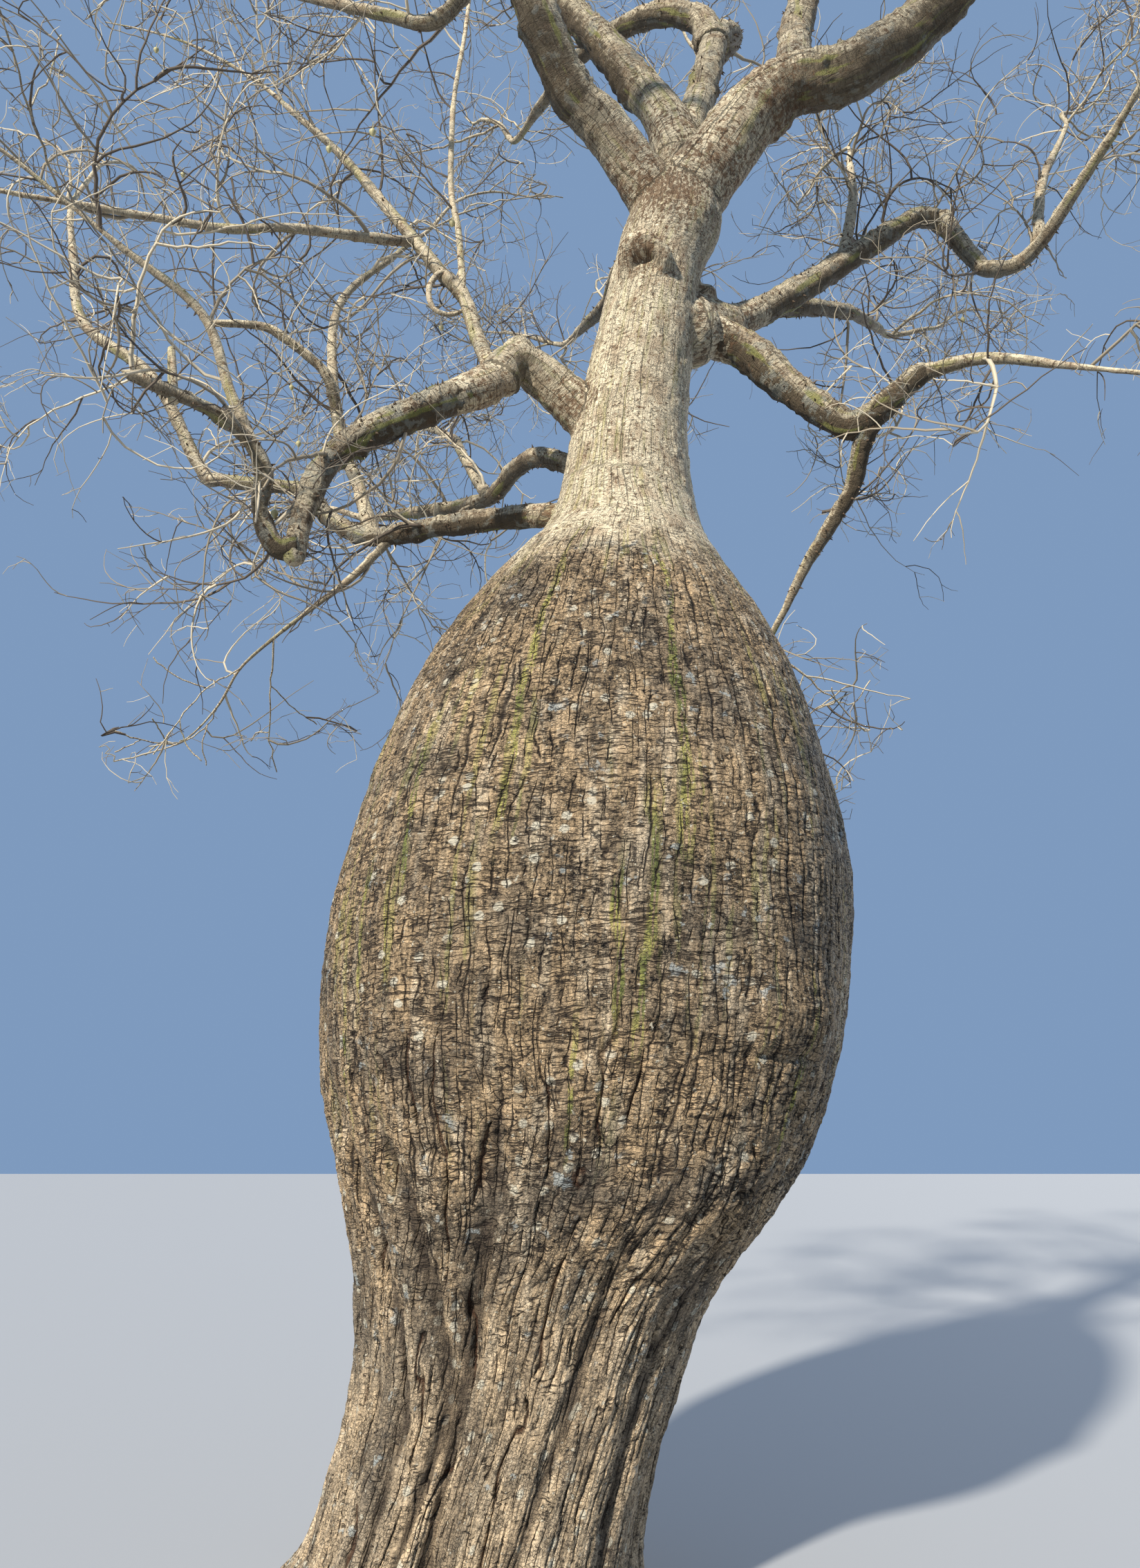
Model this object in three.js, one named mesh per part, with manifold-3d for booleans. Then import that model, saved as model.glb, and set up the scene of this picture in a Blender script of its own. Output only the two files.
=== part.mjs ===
// Silk floss tree, bare in the dry season: a bottle-shaped trunk that leans to the right, tapering
// boughs, and masses of twigs at the boughs' tips. Millimetres, +Z up, the origin in the middle of
// the flat cut at ground level. Every bough and every mass of twigs is a closed solid of its own.

import * as THREE from 'three';
import { mergeVertices } from 'three/addons/utils/BufferGeometryUtils.js';
import Module from 'manifold-3d';

const wasm = await Module();
wasm.setup();

// Driving dimensions
const seatGap = 0.3; // clearance between a piece and what carries it
const rightAngle = Math.PI / 2;

const trunk = {
  // height above the ground, sideways lean of the axis, radius
  stations: [
    [0, 0, 715], [170, 55, 636], [450, 130, 622], [760, 225, 648], [1100, 300, 735],
    [1500, 420, 925], [1940, 470, 1065], [2400, 500, 1105], [2880, 540, 1062], [3400, 570, 925],
    [3800, 600, 752], [4150, 630, 535], [4440, 680, 356], [4900, 710, 284], [5440, 790, 250],
    [5860, 860, 230], [6200, 960, 252], [6520, 1010, 180], [6780, 1020, 112],
  ],
  top: 6780,
  sides: 28,
  rings: 30,
  foldsAtFoot: 0.1, // depth of the folds as a share of the radius
  foldsFade: 1900, // height over which the folds fade out
  drift: { from: 5600, depth: 100 }, // the axis moves this far back towards the fork
  scar: { height: 5690, azimuth: -128, radius: 112, proud: 62 }, // healed limb scar on the neck
};

const limb = {
  taper: 1.35, // above 1 a limb keeps its girth first and thins towards the tip
  collar: 0.28, // swelling at the root, as a share of the radius
  collarLength: 2.2, // in root radii
  stride: 330, // longest stretch between two rings
  // number of sides up to each root radius
  sides: [[30, 5], [60, 6], [Infinity, 8]],
};

const space = {
  ahead: 0.72, // centre of a mass's space beyond the bough's tip, as a share of its radius
  outward: 0.6, // pull of that centre away from the middle of the crown
};

const twig = {
  sides: 3,
  steps: [5, 3, 2], // straight lengths in the stem, a side twig and its own side twigs
  share: [1.6, 0.6, 0.55], // length: of the space's radius, then of the parent twig
  shorter: 0.4, // how much shorter the side twigs get towards the parent's tip
  thickness: [0.8, 0.6, 0.62], // root radius: of the bough's tip, then of the parent there
  taper: 0.8, // share of the radius lost from root to tip
  tip: 3.6, // thinnest radius before the pointed end
  fork: [0.75, 1.15], // angle off the parent, in radians
  bend: 0.5, // random turn at each step
  curl: 0.8, // turn that a twig keeps all along, as a share of the random one
  outward: 0.16, // pull away from the middle of the crown
  lift: 0.05, // pull upwards
  wind: [2.4, 0.6], // turn of each side twig round its parent from the last, and its spread
  spread: [0.8, 1.2], // variation of a side twig's length
  tries: [80, 8, 5], // at each level, before a twig is skipped
  clearance: 22, // from any limb, and from the next mass's space
  probe: 60, // longest stretch between two tests for clearance
};

const crownMiddle = new THREE.Vector3(700, 0, 6300);

// Boughs in the order they are fitted. "on" is what carries the bough and "at" how far along it,
// as a height for the trunk and a share of the length for a bough. Knees are the bends after the
// root. A bough with "spray" ends in a mass of twigs whose space has that radius.
const boughs = [
  { name: 'bough_left', on: 'trunk', at: 4820, base: 118, tip: 84, round: true,
    knees: [[420, -50, 5090], [180, -120, 5260], [40, -200, 5080]] },
  { name: 'bough_left_arch', on: 'bough_left', at: 1, base: 80, tip: 44, round: true,
    knees: [[-350, -380, 4770], [-610, -500, 4510], [-700, -560, 4240], [-730, -600, 3970]] },
  { name: 'bough_left_hook', on: 'bough_left_arch', at: 0.97, base: 40, tip: 22,
    knees: [[-810, -620, 4010], [-870, -650, 4150], [-860, -700, 4330], [-1000, -800, 4490], [-1330, -1000, 4560]] },
  { name: 'bough_left_front', on: 'bough_left_hook', at: 0.42, base: 26, tip: 15, spray: 950,
    knees: [[-1020, -720, 4680], [-1150, -780, 5020], [-1480, -900, 5260]] },
  { name: 'bough_left_riser', on: 'bough_left', at: 0.96, base: 40, tip: 19, spray: 1150,
    knees: [[-40, -100, 5430], [-130, 0, 5750], [-300, 100, 6030], [-890, 500, 7090], [-1300, 700, 7670]] },
  { name: 'bough_left_level', on: 'bough_left_riser', at: 0.42, base: 27, tip: 16, spray: 1000,
    knees: [[-560, 0, 6090], [-990, -200, 5980], [-1290, -300, 5890], [-1920, -500, 5850]] },
  { name: 'bough_low_left', on: 'trunk', at: 4400, base: 62, tip: 46, round: true,
    knees: [[340, 100, 4550], [-270, 400, 4650], [-650, 600, 4700], [-930, 780, 4920]] },
  { name: 'bough_low_left_outer', on: 'bough_low_left', at: 1, base: 40, tip: 28, spray: 1250,
    knees: [[-1100, 850, 5130], [-1540, 850, 5190], [-1690, 880, 5280], [-2060, 950, 5940], [-2540, 1000, 6360],
      [-2720, 1100, 6970]] },
  { name: 'bough_low_left_riser', on: 'bough_low_left', at: 0.78, base: 38, tip: 18, spray: 1000,
    knees: [[-740, 700, 5040], [-910, 800, 5540], [-1000, 1000, 6460], [-670, 1200, 7060]] },
  { name: 'bough_low_left_drooping', on: 'bough_low_left', at: 0.7, base: 24, tip: 14, spray: 780,
    knees: [[-720, 600, 4480], [-950, 640, 4300]] },
  { name: 'bough_back_left', on: 'trunk', at: 4640, base: 56, tip: 34, spray: 1200,
    knees: [[290, 400, 5060], [120, 700, 5170], [-110, 1100, 5200], [-760, 1900, 5560]] },
  { name: 'bough_back_left_riser', on: 'bough_back_left', at: 0.55, base: 34, tip: 20, spray: 1150,
    azimuth: 108, reach: 1700, rise: 1500 },
  { name: 'bough_right_shoulder', on: 'trunk', at: 5560, base: 165, tip: 120, round: true,
    knees: [[1060, 160, 5690], [1230, 260, 5740]] },
  { name: 'bough_right', on: 'bough_right_shoulder', at: 0.9, base: 80, tip: 54, round: true,
    knees: [[1530, 350, 5970], [2310, 550, 6650], [2460, 600, 6770], [2600, 620, 6770]] },
  { name: 'bough_right_outer', on: 'bough_right', at: 1, base: 52, tip: 24, spray: 1150,
    knees: [[2730, 550, 6450], [2800, 500, 6330], [3000, 400, 6360], [3250, -100, 6650]] },
  { name: 'bough_right_riser', on: 'bough_right_outer', at: 0.58, base: 33, tip: 22, spray: 1150,
    knees: [[3110, 500, 6680], [3210, 600, 7030], [3360, 700, 7340]] },
  { name: 'bough_right_spur', on: 'bough_right', at: 0.55, base: 34, tip: 19, spray: 1050,
    azimuth: 62, reach: 800, rise: 1450 },
  { name: 'bough_low_right', on: 'bough_right_shoulder', at: 0.45, base: 100, tip: 52, round: true,
    knees: [[1300, 100, 5500], [1570, 0, 5150], [1690, -50, 5000], [1820, -100, 4940], [2090, -200, 5140]] },
  { name: 'bough_low_right_outer', on: 'bough_low_right', at: 1, base: 34, tip: 15, spray: 1050,
    knees: [[2380, -300, 5150], [2680, -500, 4960]] },
  { name: 'bough_low_right_hanging', on: 'bough_low_right', at: 0.8, base: 46, tip: 19, spray: 700,
    knees: [[1820, -40, 4800], [1780, 50, 4640], [1600, 250, 4370], [1500, 350, 4170]] },
  { name: 'bough_back_right', on: 'bough_right_shoulder', at: 0.7, base: 70, tip: 30, spray: 1250,
    azimuth: 52, reach: 2500, rise: 1500 },
  { name: 'bough_upper_right', on: 'trunk', at: 6330, base: 165, tip: 48, spray: 1250,
    knees: [[1250, -50, 6640], [1400, -100, 6820], [1580, -150, 6920], [1920, -250, 6950], [2350, -350, 7270],
      [3000, -900, 7900], [3400, -1500, 8350]] },
  { name: 'bough_upper_right_riser', on: 'bough_upper_right', at: 0.24, base: 92, tip: 40, spray: 1150,
    knees: [[1650, -50, 7400], [1710, 0, 7690], [1800, 150, 8500], [1700, 100, 9300]] },
  { name: 'bough_front_right', on: 'bough_upper_right_riser', at: 0.5, base: 60, tip: 28, spray: 1150,
    azimuth: -78, reach: 1900, rise: 700 },
  { name: 'bough_front_left', on: 'trunk', at: 6230, base: 128, tip: 42, spray: 1250,
    knees: [[610, -120, 6670], [440, -200, 6820], [280, -330, 7100], [140, -450, 7420], [-350, -1200, 8150],
      [-1000, -1900, 8500]] },
  { name: 'bough_front_left_loop', on: 'bough_front_left', at: 0.4, base: 42, tip: 26, spray: 1000,
    knees: [[-20, -450, 7330], [-270, -350, 7130], [-550, -250, 7290], [-930, -150, 7510]] },
  { name: 'bough_front', on: 'bough_front_left', at: 0.62, base: 58, tip: 28, spray: 1150,
    azimuth: -72, reach: 1500, rise: 750 },
  { name: 'bough_upper_left', on: 'trunk', at: 6700, base: 116, tip: 44, spray: 1200,
    knees: [[940, 150, 7040], [790, 250, 7390], [440, 450, 8150], [0, 700, 8900], [-500, 850, 9350]] },
  { name: 'bough_middle', on: 'trunk', at: 6720, base: 92, tip: 44, spray: 1200,
    knees: [[1160, 250, 7290], [1320, 550, 8060], [1520, 1100, 8700], [1500, 1700, 9150]] },
  { name: 'bough_middle_left', on: 'bough_middle', at: 0.42, base: 82, tip: 36, spray: 1200,
    knees: [[1200, 600, 8280], [910, 800, 8520], [520, 1350, 8850], [150, 2050, 9050]] },
  { name: 'bough_back', on: 'trunk', at: 6060, base: 84, tip: 32, spray: 1250,
    azimuth: 96, reach: 2300, rise: 1250 },
];

const colours = { trunk: 0x9a8465, bough: 0xa59377, twig: 0xb3a58c };

// Helpers

const up = new THREE.Vector3(0, 0, 1);

function curveThrough(points) {
  return new THREE.CatmullRomCurve3(points, false, 'catmullrom', 0.5);
}

// A seeded row of numbers between 0 and 1
function dice(seed) {
  let state = seed;
  return () => {
    state = (state * 16807) % 2147483647;
    return state / 2147483647;
  };
}

const firstTry = 50; // the seeds of a twig's tries start past those of its side twigs

function childSeed(seed, index) {
  return (seed * 31 + index * 7919 + 1) % 2147483647;
}

// A random direction inside the unit cube's span
function wobble(random) {
  return new THREE.Vector3(random() * 2 - 1, random() * 2 - 1, random() * 2 - 1);
}

function toSolid(geometry) {
  const bare = geometry.clone();
  bare.deleteAttribute('normal');
  bare.deleteAttribute('uv');
  const merged = mergeVertices(bare, 1e-4);
  return new wasm.Manifold(new wasm.Mesh({
    numProp: 3,
    vertProperties: new Float32Array(merged.attributes.position.array),
    triVerts: new Uint32Array(merged.index.array),
  }));
}

// The largest body of a solid, without the loose scraps that a cut may leave
function mainBody(solid) {
  const bodies = solid.decompose();
  return bodies.reduce((best, body) => (body.volume() > best.volume() ? body : best));
}

function toMesh(name, solid, colour, roughness) {
  const data = solid.getMesh();
  const geometry = new THREE.BufferGeometry();
  geometry.setAttribute('position', new THREE.BufferAttribute(data.vertProperties, 3));
  geometry.setIndex(new THREE.BufferAttribute(data.triVerts, 1));
  geometry.computeVertexNormals();
  const mesh = new THREE.Mesh(geometry, new THREE.MeshStandardMaterial({ color: colour, roughness, metalness: 0 }));
  mesh.name = name;
  return mesh;
}

// Trunk: level rings whose radius follows the stations, with folds that deepen towards the foot

const trunkProfile = curveThrough(trunk.stations.map(([height, lean, radius]) => new THREE.Vector3(lean, radius, height)));

function folds(angle, height) {
  const facing = angle + rightAngle;
  const depth = trunk.foldsAtFoot * Math.exp(-height / trunk.foldsFade);
  return 1 - depth * (0.55 * Math.cos(5 * facing) + 0.3 * Math.cos(3 * facing + 0.9) + 0.15 * Math.cos(9 * facing + 2));
}

function trunkRing(share) {
  const { x, y, z } = trunkProfile.getPoint(share);
  const back = trunk.drift.depth * THREE.MathUtils.smoothstep(z, trunk.drift.from, trunk.top);
  return { centre: new THREE.Vector3(x, back, z), radius: y };
}

function trunkAt(height) {
  let low = 0;
  let high = 1;
  for (let i = 0; i < 40; i += 1) {
    const middle = (low + high) / 2;
    if (trunkProfile.getPoint(middle).z < height) low = middle;
    else high = middle;
  }
  return trunkRing(low);
}

function trunkSolid(grow) {
  const geometry = new THREE.CylinderGeometry(1, 1, 1, trunk.sides, trunk.rings);
  const position = geometry.attributes.position;
  for (let i = 0; i < position.count; i += 1) {
    const share = position.getY(i) + 0.5;
    const { centre, radius } = trunkRing(share);
    const angle = Math.atan2(-position.getZ(i), position.getX(i));
    const reach = Math.hypot(position.getX(i), position.getZ(i)) * (radius * folds(angle, centre.z) + grow);
    position.setXYZ(i, centre.x + reach * Math.cos(angle), centre.y + reach * Math.sin(angle), centre.z);
  }
  return toSolid(geometry);
}

function scarSolid(grow) {
  const { height, azimuth, radius, proud } = trunk.scar;
  const { centre, radius: neck } = trunkAt(height);
  const angle = THREE.MathUtils.degToRad(azimuth);
  const out = new THREE.Vector3(Math.cos(angle), Math.sin(angle), -0.15).normalize();
  const geometry = new THREE.CylinderGeometry(radius * 0.8 + grow, radius + grow, neck + proud + grow, 10, 1);
  geometry.translate(0, (neck + proud + grow) / 2, 0);
  geometry.applyQuaternion(new THREE.Quaternion().setFromUnitVectors(new THREE.Vector3(0, 1, 0), out));
  geometry.translate(centre.x, centre.y, centre.z);
  return toSolid(geometry);
}

// A tapering tube through a row of points. Its frames are carried along without twist. The end is
// flat, rounded, or drawn out to a point.
function tube(points, radii, sides, end) {
  const rings = points.map((point, i) => ({ point, radius: radii[i] }));
  const last = rings[rings.length - 1];
  const heading = last.point.clone().sub(points[points.length - 2]).normalize();
  if (end === 'round') {
    for (const angle of [0.35, 0.7]) {
      rings.push({
        point: last.point.clone().addScaledVector(heading, last.radius * Math.sin(angle * rightAngle)),
        radius: last.radius * Math.cos(angle * rightAngle),
      });
    }
  }
  const steps = rings.length - 1;
  const tipRadius = end === 'point' ? 0 : 1;
  const geometry = new THREE.CylinderGeometry(tipRadius, 1, 1, sides, steps);

  const frames = [];
  let side = null;
  for (let i = 0; i <= steps; i += 1) {
    const before = rings[Math.max(i - 1, 0)].point;
    const after = rings[Math.min(i + 1, steps)].point;
    const along = after.clone().sub(before).normalize();
    if (side === null) {
      side = Math.abs(along.z) > 0.9 ? new THREE.Vector3(1, 0, 0) : up.clone();
    }
    side.addScaledVector(along, -side.dot(along)).normalize();
    frames.push({ side: side.clone(), across: side.clone().cross(along) });
  }

  const position = geometry.attributes.position;
  for (let i = 0; i < position.count; i += 1) {
    const ring = Math.round((position.getY(i) + 0.5) * steps);
    const { point, radius } = rings[ring];
    const { side: axisX, across: axisZ } = frames[ring];
    const spread = Math.hypot(position.getX(i), position.getZ(i));
    const scale = spread > 1e-6 ? radius / spread : 0;
    const vertex = point.clone();
    vertex.addScaledVector(axisX, position.getX(i) * scale).addScaledVector(axisZ, position.getZ(i) * scale);
    position.setXYZ(i, vertex.x, vertex.y, vertex.z);
  }
  return toSolid(geometry);
}

// Boughs

// Knees of a bough that is given by where it goes: it rises fast first, then reaches outwards
function sweep(root, { azimuth, reach, rise }, random) {
  const angle = THREE.MathUtils.degToRad(azimuth);
  return [0.34, 0.68, 1].map((share) => {
    const sway = (random() - 0.5) * 0.24 * reach * share;
    return new THREE.Vector3(
      root.x + Math.cos(angle) * reach * share - Math.sin(angle) * sway,
      root.y + Math.sin(angle) * reach * share + Math.cos(angle) * sway,
      root.z + rise * share ** 0.8,
    );
  });
}

const shapes = new Map();

// The point at a share of the length of a row of points
function pointAlong(points, share) {
  const lengths = points.slice(1).map((point, i) => point.distanceTo(points[i]));
  let rest = share * lengths.reduce((sum, length) => sum + length, 0);
  for (let i = 0; i < lengths.length; i += 1) {
    if (rest <= lengths[i] || i === lengths.length - 1) return points[i].clone().lerp(points[i + 1], rest / lengths[i]);
    rest -= lengths[i];
  }
  return points[0].clone();
}

function shapeBough(bough, index) {
  const root = bough.on === 'trunk' ? trunkAt(bough.at).centre : pointAlong(shapes.get(bough.on).points, bough.at);
  const knees = bough.knees
    ? bough.knees.map((knee) => new THREE.Vector3(...knee))
    : sweep(root, bough, dice(childSeed(401, index)));
  const knots = [root, ...knees];
  const curve = curveThrough(knots);
  const points = [root];
  knees.forEach((knee, span) => {
    const count = Math.max(1, Math.round(knee.distanceTo(knots[span]) / limb.stride));
    for (let k = 1; k <= count; k += 1) points.push(curve.getPoint((span + k / count) / knees.length));
  });

  const lengths = [0];
  points.slice(1).forEach((point, i) => lengths.push(lengths[i] + point.distanceTo(points[i])));
  const whole = lengths[lengths.length - 1];
  const radii = lengths.map((length) => {
    const collar = 1 + limb.collar * Math.exp(-length / (bough.base * limb.collarLength));
    return (bough.base + (bough.tip - bough.base) * (length / whole) ** limb.taper) * collar;
  });
  const [, sides] = limb.sides.find(([upTo]) => bough.base <= upTo);
  const end = bough.round ? 'round' : 'flat';
  const solid = tube(points, radii, sides, end);
  const enlarged = tube(points, radii.map((radius) => radius + seatGap), sides, end);
  return { points, radii, solid, enlarged };
}

function boxesMeet(a, b) {
  return [0, 1, 2].every((axis) => a.min[axis] <= b.max[axis] && b.min[axis] <= a.max[axis]);
}

const trunkBody = trunkSolid(0).add(scarSolid(0));
const fitted = [trunkSolid(seatGap).add(scarSolid(seatGap))];
const tree = new THREE.Group();
tree.add(toMesh('trunk', trunkBody, colours.trunk, 0.95));

boughs.forEach((bough, index) => {
  const shape = shapeBough(bough, index);
  shapes.set(bough.name, shape);
  const box = shape.solid.boundingBox();
  const cut = fitted
    .filter((other) => boxesMeet(box, other.boundingBox()))
    .reduce((rest, other) => rest.subtract(other), shape.solid);
  tree.add(toMesh(bough.name, mainBody(cut), colours.bough, 0.9));
  fitted.push(shape.enlarged);
});

// Twig masses

// Round beads along the trunk and the boughs, for keeping twigs clear of them
const beadStep = 60;
const beads = [];
for (let height = 0; height <= trunk.top; height += beadStep) {
  const { centre, radius } = trunkAt(height);
  beads.push({ owner: 'trunk', centre, radius });
}
shapes.forEach(({ points, radii }, owner) => {
  points.slice(1).forEach((point, i) => {
    const count = Math.ceil(point.distanceTo(points[i]) / beadStep);
    for (let k = 1; k <= count; k += 1) {
      const centre = points[i].clone().lerp(point, k / count);
      beads.push({ owner, centre, radius: THREE.MathUtils.lerp(radii[i], radii[i + 1], k / count) });
    }
  });
});

// The space of a mass: a ball that lies ahead of its bough's tip and outwards from the crown
const spaces = boughs.filter((bough) => bough.spray).map((bough, index) => {
  const { points, radii } = shapes.get(bough.name);
  const tip = points[points.length - 1];
  const heading = tip.clone().sub(points[points.length - 2]).normalize();
  const outward = tip.clone().sub(crownMiddle).normalize();
  const lead = heading.clone().addScaledVector(outward, space.outward).normalize();
  return {
    name: bough.name.replace('bough', 'twigs'),
    owner: bough.name,
    tip,
    heading,
    tipRadius: radii[radii.length - 1],
    centre: tip.clone().addScaledVector(lead, bough.spray * space.ahead),
    radius: bough.spray,
    seed: 1000 + index * 137,
  };
});

function isClear(home, point, radius, besideOwner) {
  const own = point.distanceTo(home.centre);
  if (own > home.radius - radius) return false;
  for (const other of spaces) {
    if (other !== home && point.distanceTo(other.centre) - own < twig.clearance) return false;
  }
  for (const bead of beads) {
    if (besideOwner && bead.owner === home.owner) continue;
    if (point.distanceTo(bead.centre) < bead.radius + radius + twig.clearance) return false;
  }
  return true;
}

// One twig as a row of bends, or null where it would leave its space or touch a limb
function growTwig(home, root, heading, length, radius, level, seed) {
  const random = dice(seed);
  const steps = twig.steps[level];
  const stride = length / steps;
  const points = [root.clone()];
  const turn = heading.clone();
  const curl = wobble(random);
  for (let step = 0; step < steps; step += 1) {
    const from = points[step];
    if (step > 0 || level > 0) {
      const outward = from.clone().sub(crownMiddle).normalize();
      const sway = wobble(random).addScaledVector(curl, twig.curl);
      turn.addScaledVector(sway, twig.bend).addScaledVector(outward, twig.outward).addScaledVector(up, twig.lift);
      turn.normalize();
    }
    const to = from.clone().addScaledVector(turn, stride);
    const besideOwner = level === 0 && step < 2;
    const probes = Math.ceil(stride / twig.probe);
    for (let k = 1; k <= probes; k += 1) {
      if (!isClear(home, from.clone().lerp(to, k / probes), radius, besideOwner)) return null;
    }
    points.push(to);
  }
  return points;
}

// A twig, and the side twigs at its bends that wind round it, each with a seed of its own
function branch(home, root, heading, length, radius, level, seed, solids) {
  let points = null;
  for (let attempt = 0; attempt < twig.tries[level] && points === null; attempt += 1) {
    points = growTwig(home, root, heading, length, radius, level, childSeed(seed, firstTry + attempt));
  }
  if (points === null) return;
  const steps = points.length - 1;
  const radii = points.map((_, i) => Math.max(twig.tip, radius * (1 - (twig.taper * i) / steps)));
  solids.push(tube(points, radii, twig.sides, 'point'));
  if (level + 1 === twig.steps.length) return;

  const random = dice(seed);
  const side = wobble(random);
  for (let knot = 1; knot < steps; knot += 1) {
    const along = points[knot + 1].clone().sub(points[knot - 1]).normalize();
    side.applyAxisAngle(along, twig.wind[0] + twig.wind[1] * random());
    side.addScaledVector(along, -side.dot(along)).normalize();
    const fork = THREE.MathUtils.lerp(twig.fork[0], twig.fork[1], random());
    const start = along.clone().multiplyScalar(Math.cos(fork)).addScaledVector(side, Math.sin(fork));
    const spread = THREE.MathUtils.lerp(twig.spread[0], twig.spread[1], random());
    const reach = length * twig.share[level + 1] * (1 - (twig.shorter * knot) / steps) * spread;
    const girth = Math.max(twig.tip, radii[knot] * twig.thickness[level + 1]);
    branch(home, points[knot], start, reach, girth, level + 1, childSeed(seed, knot), solids);
  }
}

for (const home of spaces) {
  const solids = [];
  const foot = home.tip.clone().addScaledVector(home.heading, seatGap);
  const length = home.radius * twig.share[0];
  branch(home, foot, home.heading, length, home.tipRadius * twig.thickness[0], 0, home.seed, solids);
  const mass = solids.reduce((whole, solid) => whole.add(solid));
  tree.add(toMesh(home.name, mainBody(mass), colours.twig, 0.85));
}

export default tree;
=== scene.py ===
# Silk floss tree, bare in the dry season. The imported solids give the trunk, the boughs and the
# reach of the twigs. This scene dresses them in bark and grows the finer twigs on from them.
# Metres, +Z up, the origin in the middle of the flat cut at ground level.
import math

import bpy
import numpy as np
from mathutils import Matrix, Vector


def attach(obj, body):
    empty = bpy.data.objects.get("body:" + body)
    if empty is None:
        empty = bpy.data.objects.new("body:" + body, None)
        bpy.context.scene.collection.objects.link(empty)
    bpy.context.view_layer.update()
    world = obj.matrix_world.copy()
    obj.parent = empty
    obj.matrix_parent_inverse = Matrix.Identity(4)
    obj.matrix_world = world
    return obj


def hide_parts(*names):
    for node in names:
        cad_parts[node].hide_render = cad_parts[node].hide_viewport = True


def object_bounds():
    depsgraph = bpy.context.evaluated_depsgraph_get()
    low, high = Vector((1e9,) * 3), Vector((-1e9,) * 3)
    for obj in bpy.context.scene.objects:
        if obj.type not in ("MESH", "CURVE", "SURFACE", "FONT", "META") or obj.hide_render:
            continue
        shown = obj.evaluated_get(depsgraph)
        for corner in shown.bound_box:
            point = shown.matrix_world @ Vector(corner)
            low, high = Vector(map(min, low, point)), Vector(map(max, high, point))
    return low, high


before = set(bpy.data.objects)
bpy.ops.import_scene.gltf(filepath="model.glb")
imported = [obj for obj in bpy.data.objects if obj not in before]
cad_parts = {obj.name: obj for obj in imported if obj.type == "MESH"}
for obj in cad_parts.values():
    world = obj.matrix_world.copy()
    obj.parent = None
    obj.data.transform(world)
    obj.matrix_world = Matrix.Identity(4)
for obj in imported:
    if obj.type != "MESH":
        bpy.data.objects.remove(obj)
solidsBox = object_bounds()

scene = bpy.context.scene
mm = 0.001
print("solids:", len(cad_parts))


jitter = {"cells": 0.92, "lines": 0.85}  # how uneven the patterns of bark are


# Nodes: a desk works on one tree, a term is a socket of it that can stand in a sum

class Term:
    def __init__(self, desk, socket, vector=False, flat=False):
        self.desk = desk
        self.socket = socket
        self.vector = vector
        self.flat = flat  # a place on the unrolled bark: metres round, metres up, 0

    def __add__(self, other):
        return self.desk.join("ADD", self, other)

    def __radd__(self, other):
        return self.desk.join("ADD", other, self)

    def __sub__(self, other):
        return self.desk.join("SUBTRACT", self, other)

    def __rsub__(self, other):
        return self.desk.join("SUBTRACT", other, self)

    def __mul__(self, other):
        return self.desk.join("MULTIPLY", self, other)

    def __rmul__(self, other):
        return self.desk.join("MULTIPLY", other, self)


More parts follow.
